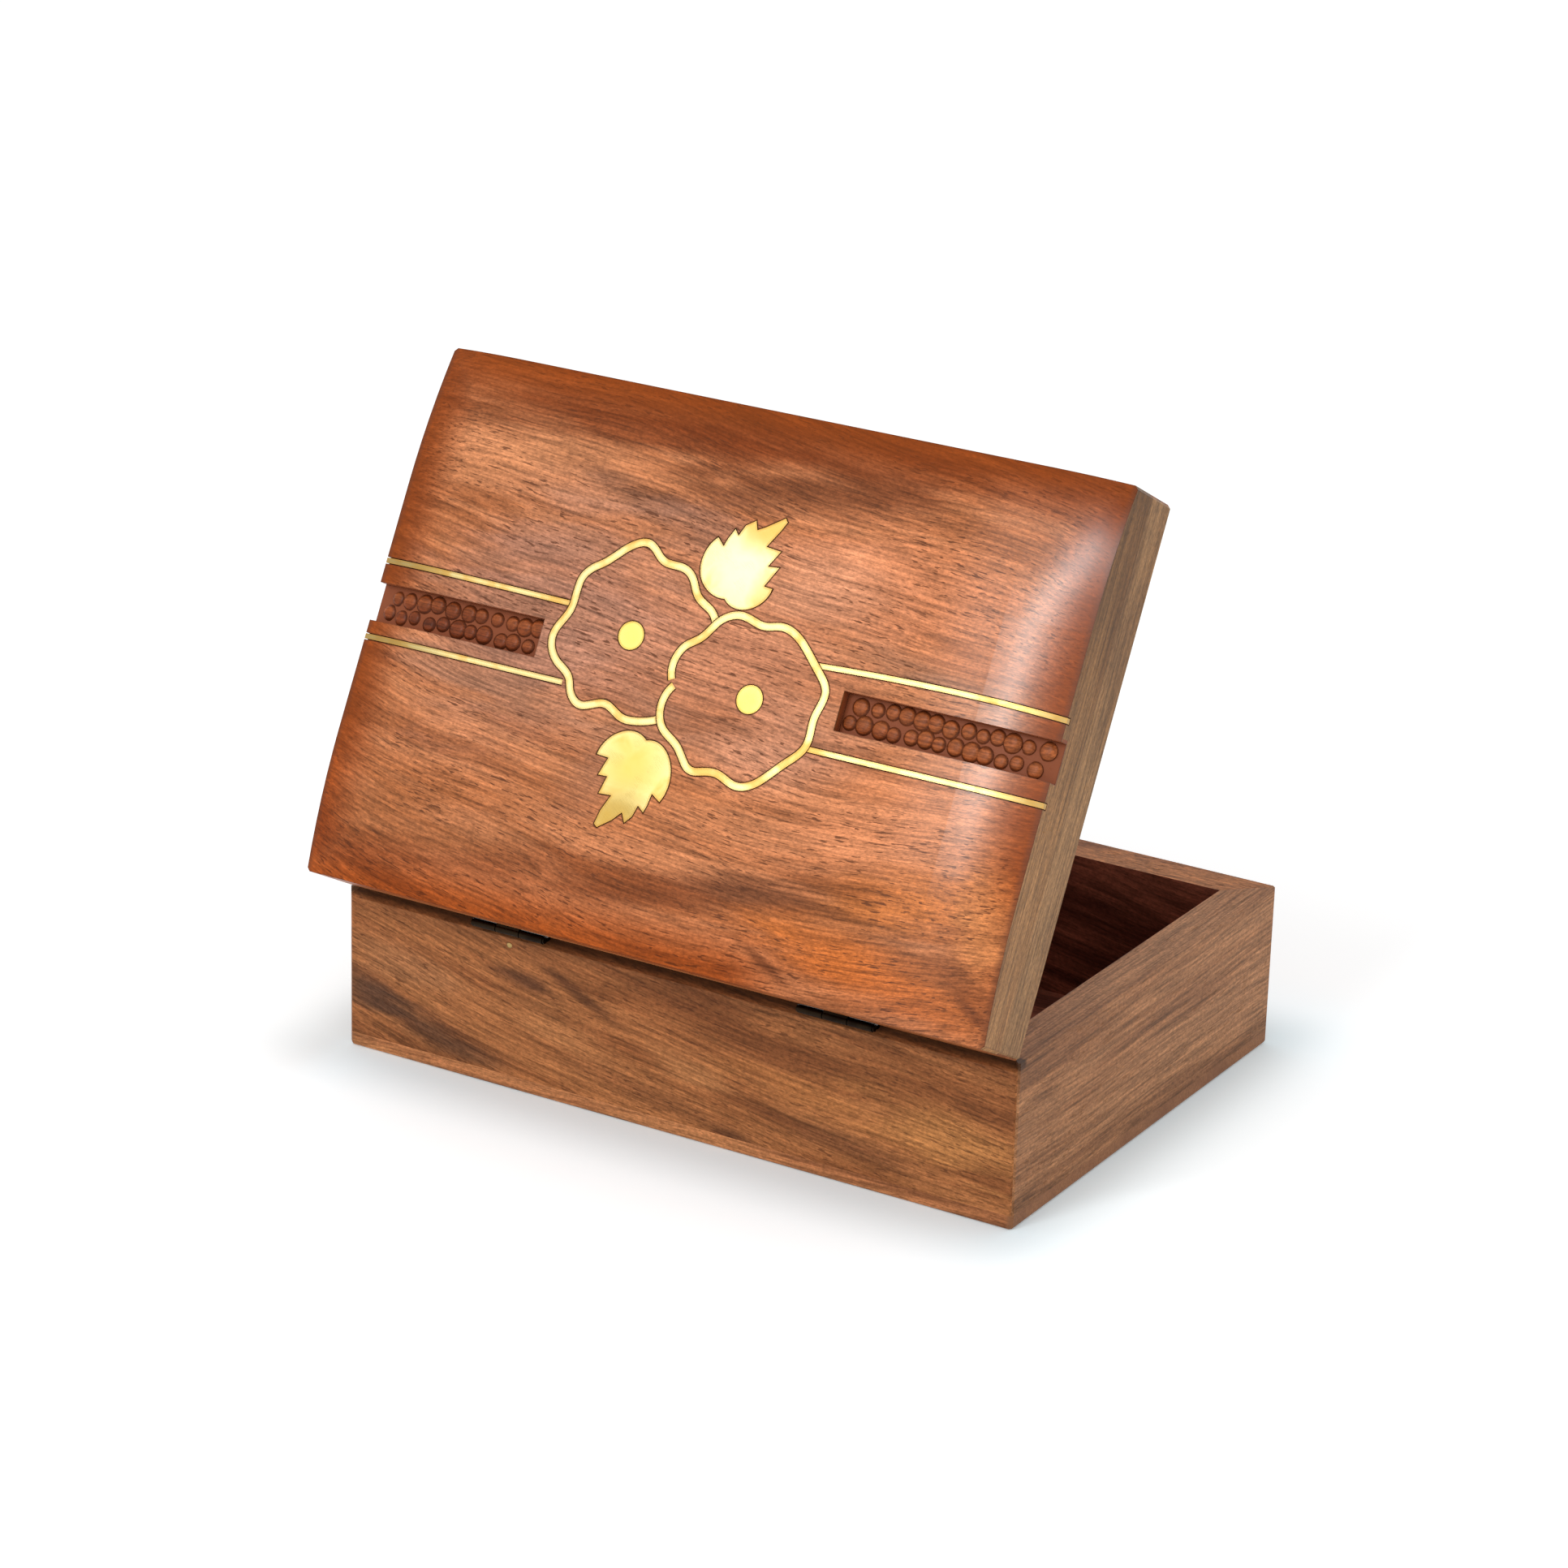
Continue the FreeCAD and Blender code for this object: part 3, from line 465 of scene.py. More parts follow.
def in_bands(tree, x, y, depth):
    """1 on the sides and floors of the two carved bands, 0 elsewhere."""
    from_row = reckon(tree, "ABSOLUTE", reckon(tree, "SUBTRACT", y, BAND_MIDDLE))
    near_row = reckon(tree, "LESS_THAN", from_row, BAND_HALF_WIDTH + 0.5)
    past_flower = reckon(tree, "GREATER_THAN", reckon(tree, "ABSOLUTE", x), BAND_CLEAR_OF_FLOWERS)
    below_top = remap(tree, depth, 0.15, 0.5)
    above_floor = reckon(tree, "LESS_THAN", depth, BAND_DEPTH + 0.3)
    sunk = reckon(tree, "MULTIPLY", below_top, above_floor)
    return reckon(tree, "MULTIPLY", reckon(tree, "MULTIPLY", near_row, past_flower), sunk)


def band_colour(tree, depth, grain):
    """Dark red of the carved bands, browner on their floors."""
    to_floor = remap(tree, depth, 0.3, BAND_DEPTH)
    deep_red = tint(tree, to_floor, (0.31, 0.078, 0.022, 1), (0.25, 0.070, 0.029, 1))
    streaked = reckon(tree, "MULTIPLY", grain["Streak"], 0.25)
    return tint(tree, streaked, deep_red, (0.40, 0.12, 0.045, 1))


def pooled_polish(tree, x, y):
    """How much polish has pooled over one end's shoulder."""
    pooled = reckon(tree, "MULTIPLY", remap(tree, y, 34.0, 4.0, 0.15, 0.44), remap(tree, y, -62.0, -46.0))
    outward = reckon(tree, "MINIMUM", reckon(tree, "MULTIPLY_ADD", y, 0.45, 5.4), 0.0)
    before_end = remap(tree, reckon(tree, "SUBTRACT", x, outward), -86.0, -74.0, 0.45, 1.0)
    on_shoulder = reckon(tree, "MULTIPLY", remap(tree, x, -50.0, -68.0), before_end)
    return reckon(tree, "MULTIPLY", on_shoulder, pooled)


def lid_top_wood():
    """Polished red-brown board with smoky clouds, edges darkened by painted shade, greyer ends with painted
    light, and dark red carved bands.
    """
    material, tree, shader = new_material("lid_top_wood")
    vector = lid_millimetres(tree)
    x, y, z = parts_of(tree, vector)
    grain = wood_grain(tree, leaning_fibres(tree, vector), LID_TOP_GRAIN)
    colour = lay_smokes(tree, vector, grain["Color"], LID_SMOKES, LID_CROWN, LID_CLOUD_DEPTH)
    # The fine fibres and the pores show through the clouds.
    colour = tint(tree, 1.0, colour, grain["Shade"], "MULTIPLY")
    colour = tint(tree, reckon(tree, "MULTIPLY", grain["Pores"], 0.8), colour, (0.11, 0.035, 0.015, 1))
    colour = paint_edge_shade(tree, x, y, colour)
    normal = parts_of(tree, put(tree, "ShaderNodeTexCoord").outputs["Normal"])
    on_end = remap(tree, reckon(tree, "ABSOLUTE", normal[0]), 0.55, 0.65, kind="LINEAR")
    colour = tint(tree, on_end, colour, end_grain_colour(tree, vector))
    depth = depth_below_crown(tree, x, z)
    carved = in_bands(tree, x, y, depth)
    colour = tint(tree, carved, colour, band_colour(tree, depth, grain))
    # Darker wherever a rounded normal finds an edge: along the inlay, the carved bands and the arrises.
    darker_at_edges = reckon(tree, "MULTIPLY", along_edges(tree, 0.45, 0.995, 0.86), 0.7)
    colour = tint(tree, darker_at_edges, colour, (0.075, 0.026, 0.012, 1))
    colour = maroon_and_shade_inside(tree, vector, colour, grain, reckon(tree, "LESS_THAN", z, LID_INSIDE_TOP))
    finish_wood(tree, shader, colour, grain, (0.36, 0.52), coat_rough=0.21)
    plain = reckon(tree, "SUBTRACT", 1.0, reckon(tree, "MAXIMUM", on_end, carved))
    plain = reckon(tree, "MULTIPLY", plain, reckon(tree, "GREATER_THAN", z, LID_OUTSIDE_FOOT))
    polish = reckon(tree, "MULTIPLY", pooled_polish(tree, x, y), plain)
    tree.links.new(polish, shader.inputs["Coat Weight"])
    shader.inputs["Coat IOR"].default_value = 1.8
    return material


def lid_rail_wood(name, at_end):
    """Lid rails: long ones follow the lid's red-brown, end ones its greyer ends; maroon inside, partly
    painted shade.
    """
    material, tree, shader = new_material(name)
    vector = lid_millimetres(tree)
    if at_end:
        grain = wood_grain(tree, turned(tree, vector, ALONG_Y), LID_END_GRAIN)
    else:
        grain = wood_grain(tree, vector, LID_RAIL_GRAIN)
    colour = maroon_and_shade_inside(tree, vector, grain["Color"], grain)
    finish_wood(tree, shader, colour, grain, (0.42, 0.55))
    return material


def wall_wood(name, at_end, smokes=()):
    """Box walls: brown straight-fibred wood, painted shade under the open lid, maroon inside, partly
    painted shade.
    """
    material, tree, shader = new_material(name)
    vector = millimetres(tree)
    if at_end:
        grain = wood_grain(tree, turned(tree, vector, ALONG_Y, END_WALL_CUT), END_WALL_GRAIN)
    else:
        grain = wood_grain(tree, rising_fibres(tree, vector), LONG_WALL_GRAIN)
    upright = turned(tree, vector, (-pi / 2, 0, 0), (0, 0, HALF_DEPTH))
    colour = lay_smokes(tree, upright, grain["Color"], smokes, 0.0, WALL_CLOUD_DEPTH)
    if not at_end:
        colour = tint(tree, 1.0, colour, grain["Shade"], "MULTIPLY")
        colour = tint(tree, reckon(tree, "MULTIPLY", grain["Pores"], 0.6), colour, (0.09, 0.03, 0.013, 1))
    # Painted shade along the top edge of the hinge-side wall, under the open lid.
    _, y, z = parts_of(tree, vector)
    at_top = remap(tree, z, RIM_HEIGHT - 2.6, RIM_HEIGHT - 0.8)
    shade_under_lid = reckon(tree, "MULTIPLY", at_top, remap(tree, y, HALF_DEPTH - 4.0, HALF_DEPTH - 2.6))
    colour = tint(tree, reckon(tree, "MULTIPLY", shade_under_lid, 0.8), colour, (0.030, 0.013, 0.007, 1))
    colour = maroon_and_shade_inside(tree, vector, colour, grain)
    finish_wood(tree, shader, colour, grain, (0.44, 0.58), 0.0)
    return material


def base_wood():
    """Thin base board: lighter orange sapwood at its edge, maroon inside the box, partly painted shade."""
    material, tree, shader = new_material("base_wood")
    vector = millimetres(tree)
    grain = wood_grain(tree, turned(tree, vector, (0, 0, 0), BASE_CUT), BASE_GRAIN)
    x, _, z = parts_of(tree, vector)
    at_end = remap(tree, reckon(tree, "ABSOLUTE", x), HALF_LENGTH - 2.0, HALF_LENGTH - 0.4)
    colour = tint(tree, reckon(tree, "MULTIPLY", at_end, 0.75), grain["Color"], (0.28, 0.125, 0.06, 1))
    on_top = reckon(tree, "GREATER_THAN", z, BASE_INSIDE_FOOT)
    colour = maroon_and_shade_inside(tree, vector, colour, grain, on_top)
    finish_wood(tree, shader, colour, grain, (0.45, 0.6))
    return material


def carved_wood():
    """Dark red carved bosses: orange-brown on top from the grain, and painted shade, nearly black, round
    the foot.
    """
    material, tree, shader = new_material("carved_wood")
    vector = lid_millimetres(tree)
    x, _, z = parts_of(tree, vector)
    grain = wood_grain(tree, vector, CARVED_GRAIN)
    depth = depth_below_crown(tree, x, z)
    # Painted shade round each boss's foot.
    foot = remap(tree, depth, BAND_DEPTH - 0.5, BAND_DEPTH - 0.2)
    colour = tint(tree, reckon(tree, "MULTIPLY", foot, 0.75), grain["Color"], (0.075, 0.018, 0.007, 1))
    finish_wood(tree, shader, colour, grain, (0.38, 0.5), 0.08)
    return material


# Brass: paler and deeper places on the lid, as for the wood.
BRASS_CLOUDS = [
    # The first cloud, pale on the upper leaf, is a painted reflection.
    ((-3, -26), (11, 10), 0.0, 0.2, (0.92, 0.84, 0.50), 0.9),
    ((-8, -37), (9, 7), 0.0, 0.2, (0.66, 0.44, 0.11), 0.9),
    ((10, 22), (13, 11), 0.0, 0.2, (0.72, 0.54, 0.13), 0.9),
    ((11, 33), (13, 8), 0.0, 0.2, (0.50, 0.32, 0.07), 0.9),
    ((-14, 2), (7, 7), 0.0, 0.0, (0.86, 0.72, 0.17), 1.0),
    ((19, -6), (7, 7), 0.0, 0.0, (0.86, 0.72, 0.17), 1.0),
]


def finish_brass(tree, shader, colour, wear, relief, depth):
    """Bare metal, rubbed and scratched."""
    tree.links.new(colour, shader.inputs["Base Color"])
    shader.inputs["Metallic"].default_value = 1.0
    tree.links.new(wear["Roughness"], shader.inputs["Roughness"])
    roughen(tree, shader, wear["Height"], relief, depth)


def inlay_brass():
    """Bright filed brass, flush with the wood, browner along its edges."""
    material, tree, shader = new_material("inlay_brass")
    vector = lid_millimetres(tree)
    x, _, _ = parts_of(tree, vector)
    values = {"Vector": turned(tree, vector, (0, 0, radians(35))), "Bright": (0.95, 0.82, 0.38, 1),
              "Dull": (0.70, 0.43, 0.10, 1), "Tarnish": 0.9}
    wear = place_group(tree, BRASS_WEAR, values)
    colour = lay_smokes(tree, vector, wear["Color"], BRASS_CLOUDS, LID_CROWN, LID_CLOUD_DEPTH)
    # Painted shade: the strips are darker where the lid's ends fall away.
    outward = reckon(tree, "MULTIPLY", remap(tree, reckon(tree, "ABSOLUTE", x), 58.0, 86.0), 0.8)
    colour = tint(tree, outward, colour, (0.30, 0.20, 0.065, 1))
    rim = reckon(tree, "MULTIPLY", along_edges(tree, 1.0, 0.999, 0.93), 0.85)
    colour = tint(tree, rim, colour, (0.50, 0.26, 0.06, 1))
    finish_brass(tree, shader, colour, wear, 0.12, 0.05)
    return material


def aged_and_shaded_brass(name, bright, dull):
    """Brass of the hinges and their screws: the screws browned with age, the hinges near black as painted
    shade.
    """
    material, tree, shader = new_material(name)
    values = {"Vector": millimetres(tree), "Bright": bright, "Dull": dull, "Tarnish": 0.9}
    wear = place_group(tree, BRASS_WEAR, values)
    finish_brass(tree, shader, wear["Color"], wear, 0.2, 0.06)
    return material


LID_TOP_WOOD = lid_top_wood()
LID_LONG_RAIL_WOOD = lid_rail_wood("lid_long_rail_wood", False)
LID_END_RAIL_WOOD = lid_rail_wood("lid_end_rail_wood", True)
BACK_WALL_WOOD = wall_wood("back_wall_wood", False, BACK_SMOKES)
FRONT_WALL_WOOD = wall_wood("front_wall_wood", False)
END_WALL_WOOD = wall_wood("end_wall_wood", True)
BASE_WOOD = base_wood()
CARVED_WOOD = carved_wood()
INLAY_BRASS = inlay_brass()
# The hinges are painted near black, as the shade they sit in.
HINGE_BRASS = aged_and_shaded_brass("hinge_brass", (0.022, 0.014, 0.008, 1), (0.010, 0.006, 0.004, 1))
SCREW_BRASS = aged_and_shaded_brass("screw_brass", (0.48, 0.33, 0.13, 1), (0.22, 0.14, 0.05, 1))

WOODEN_PIECES = {
    "base_board": BASE_WOOD,
    "front_wall": FRONT_WALL_WOOD,
    "back_wall": BACK_WALL_WOOD,
    "left_wall": END_WALL_WOOD,
    "right_wall": END_WALL_WOOD,
    "lid_top": LID_TOP_WOOD,
    "lid_front_rail": LID_LONG_RAIL_WOOD,
    "lid_back_rail": LID_LONG_RAIL_WOOD,
    "lid_left_rail": LID_END_RAIL_WOOD,
    "lid_right_rail": LID_END_RAIL_WOOD,
}
for name, solid in nodes.items():
    finish = WOODEN_PIECES.get(name, HINGE_BRASS if "hinge" in name else INLAY_BRASS)
    solid.data.materials.clear()
    solid.data.materials.append(finish)


# Carved bosses and hinge screws, set out in rows

def row_tree():
    """Sets copies of a small piece out on a grid, uneven by a seed, and lays them on the falling ends."""
    tree = bpy.data.node_groups.new("rows_of_pieces", "GeometryNodeTree")
    inputs = [
        ("Geometry", "Geometry"),
        ("Columns", "Int"),
        ("Rows", "Int"),
        ("Pitch", "Float"),
        ("Row pitch", "Float"),
        ("Stagger", "Float"),
        ("Uneven", "Float"),
        ("Size change", "Float"),
        ("Middle", "Vector"),
        ("Fall start", "Float"),
        ("Fall radius", "Float"),
        ("Place", "Vector"),
        ("Turn", "Vector"),
        ("Seed", "Int"),
        ("Finish", "Material"),
    ]
    for label, kind in inputs:
        tree.interface.new_socket(label, in_out="INPUT", socket_type=f"NodeSocket{kind}")
    tree.interface.new_socket("Geometry", in_out="OUTPUT", socket_type="NodeSocketGeometry")
    given = put(tree, "NodeGroupInput").outputs
    out = put(tree, "NodeGroupOutput")

    def span(count, pitch):
        return reckon(tree, "MULTIPLY", reckon(tree, "SUBTRACT", given[count], 1.0), given[pitch])

    def moved_by(geometry, offset):
        return put(tree, "GeometryNodeSetPosition", {"Geometry": geometry, "Offset": offset}).outputs[0]

    values = {"Size X": span("Columns", "Pitch"), "Size Y": span("Rows", "Row pitch"),
              "Vertices X": given["Columns"], "Vertices Y": given["Rows"]}
    points = put(tree, "GeometryNodeMeshGrid", values).outputs[0]
    _, y, _ = parts_of(tree, put(tree, "GeometryNodeInputPosition").outputs[0])
    stagger = reckon(tree, "MULTIPLY", reckon(tree, "SIGN", y), given["Stagger"])
    sideways = put(tree, "ShaderNodeCombineXYZ", {0: stagger}).outputs[0]
    values = {0: (-1, -1, 0), 1: (1, 1, 0), "Seed": given["Seed"]}
    draw = put(tree, "FunctionNodeRandomValue", values, data_type="FLOAT_VECTOR").outputs[0]
    values = {0: draw, "Scale": given["Uneven"]}
    jitter = put(tree, "ShaderNodeVectorMath", values, operation="SCALE").outputs[0]
    aside = put(tree, "ShaderNodeVectorMath", {0: jitter, 1: given["Middle"]}, operation="ADD").outputs[0]
    aside = put(tree, "ShaderNodeVectorMath", {0: aside, 1: sideways}, operation="ADD").outputs[0]
    points = moved_by(points, aside)
    # Copies past the start of the shoulder follow it down.
    x, _, _ = parts_of(tree, put(tree, "GeometryNodeInputPosition").outputs[0])
    past = reckon(tree, "SUBTRACT", reckon(tree, "ABSOLUTE", x), given["Fall start"])
    past = reckon(tree, "MAXIMUM", past, 0.0)
    across = reckon(tree, "MULTIPLY", given["Fall radius"], -2.0)
    fall = reckon(tree, "DIVIDE", reckon(tree, "MULTIPLY", past, past), across)
    points = moved_by(points, put(tree, "ShaderNodeCombineXYZ", {2: fall}).outputs[0])
    values = {2: reckon(tree, "SUBTRACT", 1.0, given["Size change"]),
              3: reckon(tree, "ADD", 1.0, given["Size change"]), "Seed": given["Seed"]}
    size = put(tree, "FunctionNodeRandomValue", values, data_type="FLOAT").outputs[1]
    values = {"Points": points, "Instance": given["Geometry"], "Scale": size}
    copies = put(tree, "GeometryNodeInstanceOnPoints", values).outputs[0]
    solid = put(tree, "GeometryNodeRealizeInstances", {"Geometry": copies}).outputs[0]
    values = {"Geometry": solid, "Translation": given["Place"], "Rotation": given["Turn"]}
    placed = put(tree, "GeometryNodeTransform", values).outputs[0]
    values = {"Geometry": placed, "Material": given["Finish"]}
    tree.links.new(put(tree, "GeometryNodeSetMaterial", values).outputs[0], out.inputs[0])
    return tree


ROWS = row_tree()


def set_out(name, piece, body, slot, **values):
    """Runs the row tree on a small mesh, keeps the result as a plain mesh and lets it ride on a body."""
    sample = bpy.data.objects.new(name + "_sample", piece)
    scene.collection.objects.link(sample)
    modifier = sample.modifiers.new("rows", "NODES")
    modifier.node_group = ROWS
    sockets = {item.name: item.identifier for item in ROWS.interface.items_tree if item.in_out == "INPUT"}
    for label, given in values.items():
        modifier[sockets[label.replace("_", " ")]] = given
    graph = bpy.context.evaluated_depsgraph_get()
    mesh = bpy.data.meshes.new_from_object(sample.evaluated_get(graph))
    bpy.data.objects.remove(sample)
    mesh.name = name
    made = bpy.data.objects.new(name, mesh)
    scene.collection.objects.link(made)
    mesh.materials.clear()
    mesh.materials.append(values["Finish"])
    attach(made, body)


def circle(radius, sides):
    """Points round a circle."""
    angles = [2 * pi * k / sides for k in range(sides)]
    return [(radius * cos(angle), radius * sin(angle)) for angle in angles]


def boss_mesh(radius, height):
    """A low round boss with a rolled shoulder, its foot below the floor."""
    profile = [(0.36, 0.98), (0.60, 0.90), (0.76, 0.66), (0.84, 0.30), (0.97, 0.14), (1.0, -0.5)]
    form = bmesh.new()
    sides = 18
    rings = []
    for share, rise in profile:
        rings.append([form.verts.new((x, y, height * rise)) for x, y in circle(radius * share, sides)])
    top = form.verts.new((0, 0, height))
    for k in range(sides):
        form.faces.new((top, rings[0][k], rings[0][(k + 1) % sides]))
        for upper, lower in zip(rings, rings[1:]):
            form.faces.new((upper[k], lower[k], lower[(k + 1) % sides], upper[(k + 1) % sides]))
    form.faces.new(list(reversed(rings[-1])))
    # The foot alone is flat.
    for side in form.faces:
        side.smooth = len(side.verts) < 5
    mesh = bpy.data.meshes.new("boss")
    form.to_mesh(mesh)
    form.free()
    return mesh


def screw_mesh(radius, height, foot, slot_width, slot_depth):
    """A slotted screw head: a round foot and two half-round cheeks beside the slot."""
    form = bmesh.new()
    sides = 24
    slot_floor = height - slot_depth

    def prism(outline, low, high):
        lower = [form.verts.new((x, y, low)) for x, y in outline]
        upper = [form.verts.new((x, y, high)) for x, y in outline]
        form.faces.new(list(reversed(lower)))
        form.faces.new(upper)
        for k in range(len(outline)):
            after = (k + 1) % len(outline)
            form.faces.new((lower[k], lower[after], upper[after], upper[k]))

    prism(circle(radius, sides), -foot, slot_floor)
    cheek = 0.97 * radius
    lean = slot_width / 2 / radius
    steps = sides // 2
    for turn in (0.0, pi):
        angles = [turn + lean + (pi - 2 * lean) * k / steps for k in range(steps + 1)]
        prism([(cheek * cos(angle), cheek * sin(angle)) for angle in angles], slot_floor, height)
    mesh = bpy.data.meshes.new("screw_head")
    form.to_mesh(mesh)
    form.free()
    return mesh


def lid_place(x, y, z):
    """Where the open lid has a point of the shut lid, given from the middle of its rim; in metres."""
    opened = Matrix.Rotation(-LID_OPEN, 3, "X") @ Vector((x, y - AXIS_BACK, z))
    return (opened + Vector((0, AXIS_BACK, RIM_HEIGHT))) * MM


# Carved bosses, in millimetres: the first one stands next to the flowers, the last one at the lid's end.
BOSS = boss_mesh(radius=2.1 * MM, height=0.6 * MM)
BOSS_ROWS = {
    "left": {"columns": 13, "pitch": -3.75, "first": -39.6, "middle": -0.45, "seed": 7},
    "right": {"columns": 11, "pitch": 3.95, "first": 45.0, "middle": -1.05, "seed": 12},
}
for side, row in BOSS_ROWS.items():
    middle_x = row["first"] + row["pitch"] * (row["columns"] - 1) / 2
    set_out(f"{side}_band_bosses", BOSS, "lid", "lid_wood", Columns=row["columns"], Rows=2,
            Pitch=abs(row["pitch"]) * MM, Row_pitch=4.2 * MM, Stagger=0.9 * MM, Uneven=0.5 * MM,
            Size_change=0.17, Middle=(middle_x * MM, row["middle"] * MM, 0.0),
            Fall_start=END_SHOULDER_START * MM, Fall_radius=END_SHOULDER_RADIUS * MM,
            Place=lid_place(0, 0, LID_CROWN - BAND_DEPTH), Turn=(-LID_OPEN, 0, 0), Seed=row["seed"],
            Finish=CARVED_WOOD)

# Heads on flat wood and leaves: no fall comes within a metre.
LEVEL = {"Fall_start": 1.0, "Fall_radius": 1.0}
SCREW = screw_mesh(radius=1.25 * MM, height=0.02 * MM, foot=0.3 * MM, slot_width=0.35 * MM,
                   slot_depth=0.25 * MM)
SCREW_PITCH = 12.0
SCREW_BACK = 58.6
SCREW_PAIR = {"Columns": 2, "Rows": 1, "Pitch": SCREW_PITCH * MM, "Seed": 3, "Finish": SCREW_BRASS, **LEVEL}
for side, hinge_x in (("left", -HINGE_PLACE), ("right", HINGE_PLACE)):
    set_out(f"{side}_hinge_box_screws", SCREW, "box", "hinge_brass",
            Place=Vector((hinge_x, SCREW_BACK, RIM_HEIGHT)) * MM, **SCREW_PAIR)
    set_out(f"{side}_hinge_lid_screws", SCREW, "lid", "hinge_brass", Turn=(pi - LID_OPEN, 0, 0),
            Place=lid_place(hinge_x, SCREW_BACK, 0.0), **SCREW_PAIR)

BRAD = boss_mesh(radius=0.75 * MM, height=0.2 * MM)
BRAD_PLACE = Vector((44.0, HALF_DEPTH, 36.0))
set_out("back_wall_brad", BRAD, "box", "hinge_brass", Columns=1, Rows=1, Place=BRAD_PLACE * MM,
        Turn=(-pi / 2, 0, 0), Seed=1, Finish=SCREW_BRASS, **LEVEL)


# Camera, at the photograph's angle: its side and the focal length in pixels, the rest in millimetres

PHOTO_SIDE = 1932
FOCAL_LENGTH = 6414.0
SENSOR = 36.0
CAMERA_AIM = Vector((0, HALF_DEPTH - 45.0, 45.0))
CAMERA_ACROSS, CAMERA_UP, CAMERA_BACK = 1.62, 24.49, 1202.8


def photo_camera():
    """Looks at the hinge side from beyond one end of it, a little above."""
    azimuth, elevation, roll = radians(30.71), radians(20.88), radians(1.69)
    back = Vector((-sin(azimuth) * cos(elevation), cos(azimuth) * cos(elevation), sin(elevation)))
    right = Vector((-cos(azimuth), -sin(azimuth), 0.0))
    up = back.cross(right)
    across = right * cos(roll) + up * sin(roll)
    upward = up * cos(roll) - right * sin(roll)
    data = bpy.data.cameras.new("photo_camera")
    data.sensor_width = SENSOR
    data.lens = FOCAL_LENGTH / PHOTO_SIDE * SENSOR
    data.clip_start, data.clip_end = 0.05, 50.0
    camera = bpy.data.objects.new("photo_camera", data)
    scene.collection.objects.link(camera)
    place = CAMERA_AIM + across * CAMERA_ACROSS + upward * CAMERA_UP + back * CAMERA_BACK
    turn = Matrix((across, upward, back)).transposed().to_4x4()
    camera.matrix_world = Matrix.Translation(place * MM) @ turn
    scene.camera = camera


# Lamp, white surroundings and floor, in metres

LAMP_AIM = Vector((0, 0.02, 0.07))


def softbox(name, direction, distance, width, height, lean, power):
    """A long soft lamp that faces the box, its top leaning towards -X."""
    data = bpy.data.lights.new(name, "AREA")
    data.shape = "RECTANGLE"
    data.size = width
    data.size_y = height
    data.energy = power
    lamp = bpy.data.objects.new(name, data)
    scene.collection.objects.link(lamp)
    aim = Vector(direction).normalized()
    lamp.location = LAMP_AIM + aim * distance
    facing = (-aim).to_track_quat("-Z", "Y") @ Quaternion((0, 0, 1), -lean)
    lamp.rotation_euler = facing.to_euler()


def seen_directly(tree):
    """1 for what the camera, polished metal or glass sees, 0 for the light that falls on the box."""
    rays = put(tree, "ShaderNodeLightPath").outputs
    seen = reckon(tree, "MAXIMUM", rays["Is Camera Ray"], rays["Is Glossy Ray"])
    return reckon(tree, "MAXIMUM", seen, rays["Is Transmission Ray"])


def white_room():
    """Even white surroundings."""
    world = bpy.data.worlds.new("white_room")
    scene.world = world
    world.use_nodes = True
    tree = world.node_tree
    backdrop = tree.nodes["Background"]
    backdrop.inputs["Color"].default_value = (1, 1, 1, 1)
    strength = remap(tree, seen_directly(tree), 0, 1, 0.75, 1.0, "LINEAR")
    tree.links.new(strength, backdrop.inputs["Strength"])


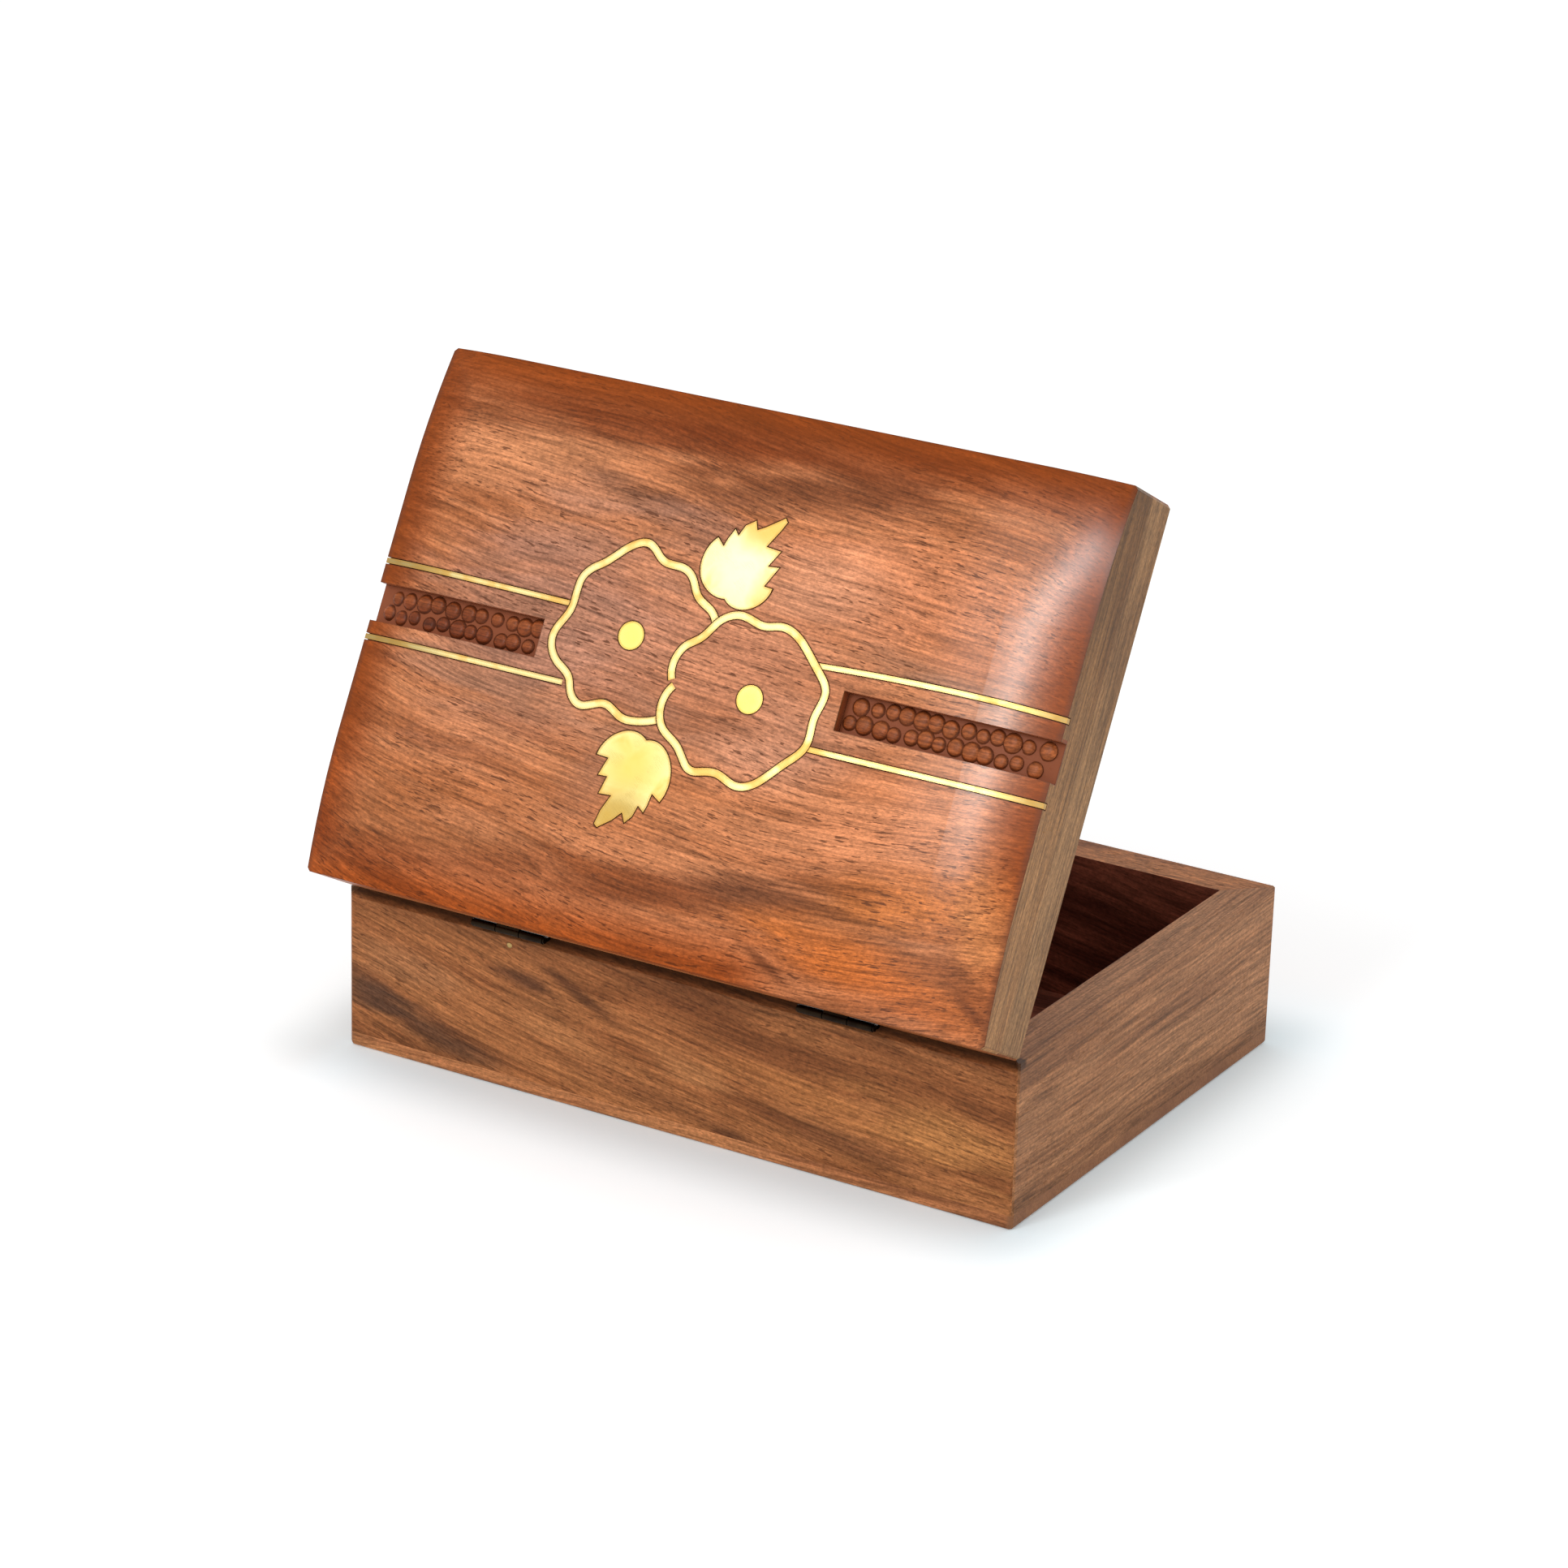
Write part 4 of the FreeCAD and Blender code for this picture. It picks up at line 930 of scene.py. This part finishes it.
def foot_shadow(tree):
    """The floor's colour and glow, with a painted shadow: duller at the foot of the box and plain a thumb's
    width away, darker by one end and lighter by the other.
    """
    # Distances here are in millimetres.
    place = millimetres(tree)
    x, y, _ = parts_of(tree, place)
    outward = put(tree, "ShaderNodeVectorMath", {0: place}, operation="ABSOLUTE").outputs[0]
    values = {0: outward, 1: (HALF_LENGTH, HALF_DEPTH, 0)}
    past = put(tree, "ShaderNodeVectorMath", values, operation="SUBTRACT").outputs[0]
    past = put(tree, "ShaderNodeVectorMath", {0: past, 1: (0, 0, 0)}, operation="MAXIMUM").outputs[0]
    away = put(tree, "ShaderNodeVectorMath", {0: past}, operation="LENGTH").outputs["Value"]
    # Painted light and shadow: the glow is higher beyond the -X end, and the floor darker by the +X end.
    low_end = remap(tree, x, 3.0 - HALF_LENGTH, -21.0 - HALF_LENGTH)
    high_end = remap(tree, x, HALF_LENGTH - 3.0, HALF_LENGTH + 11.0)
    high_end = reckon(tree, "MULTIPLY", high_end, remap(tree, away, 24.0, 4.0))
    high_end = reckon(tree, "MULTIPLY", high_end, remap(tree, y, 64.0, 15.0))
    # Painted cyan near the foot takes out the box's warm bounce; greyer past the +X corner.
    past_corner = remap(tree, x, HALF_LENGTH - 9.0, HALF_LENGTH + 7.0)
    near = tint(tree, past_corner, (0.78, 0.90, 0.95, 1), (0.77, 0.81, 0.82, 1))
    near = tint(tree, high_end, near, (0.60, 0.64, 0.66, 1))
    white = tint(tree, remap(tree, away, 0.0, 45.0), near, (0.90, 0.90, 0.90, 1))
    at_foot = reckon(tree, "MULTIPLY_ADD", low_end, 0.22, 0.15)
    at_foot = reckon(tree, "MULTIPLY_ADD", high_end, -0.15, at_foot)
    far_off = reckon(tree, "MULTIPLY_ADD", low_end, 0.08, 0.34)
    return white, remap(tree, away, 0.0, 26.0, at_foot, far_off)


def pale_floor():
    """A wide white floor that keeps the box's shadow, with a painted shadow at its foot."""
    form = bmesh.new()
    bmesh.ops.create_grid(form, x_segments=4, y_segments=4, size=6.0)
    mesh = bpy.data.meshes.new("floor")
    form.to_mesh(mesh)
    form.free()
    floor = bpy.data.objects.new("floor", mesh)
    scene.collection.objects.link(floor)
    material, tree, shader = new_material("floor_white")
    shader.inputs["Roughness"].default_value = 0.9
    shader.inputs["Specular IOR Level"].default_value = 0.0
    shader.inputs["Emission Color"].default_value = (1, 1, 1, 1)
    white, glow = foot_shadow(tree)
    tree.links.new(white, shader.inputs["Base Color"])
    tree.links.new(reckon(tree, "MULTIPLY", seen_directly(tree), glow), shader.inputs["Emission Strength"])
    mesh.materials.append(material)


photo_camera()
white_room()
pale_floor()
softbox("key_softbox", direction=(0.15, 0.75, 0.645), distance=1.2, width=0.13, height=0.62,
        lean=radians(36), power=3.8)
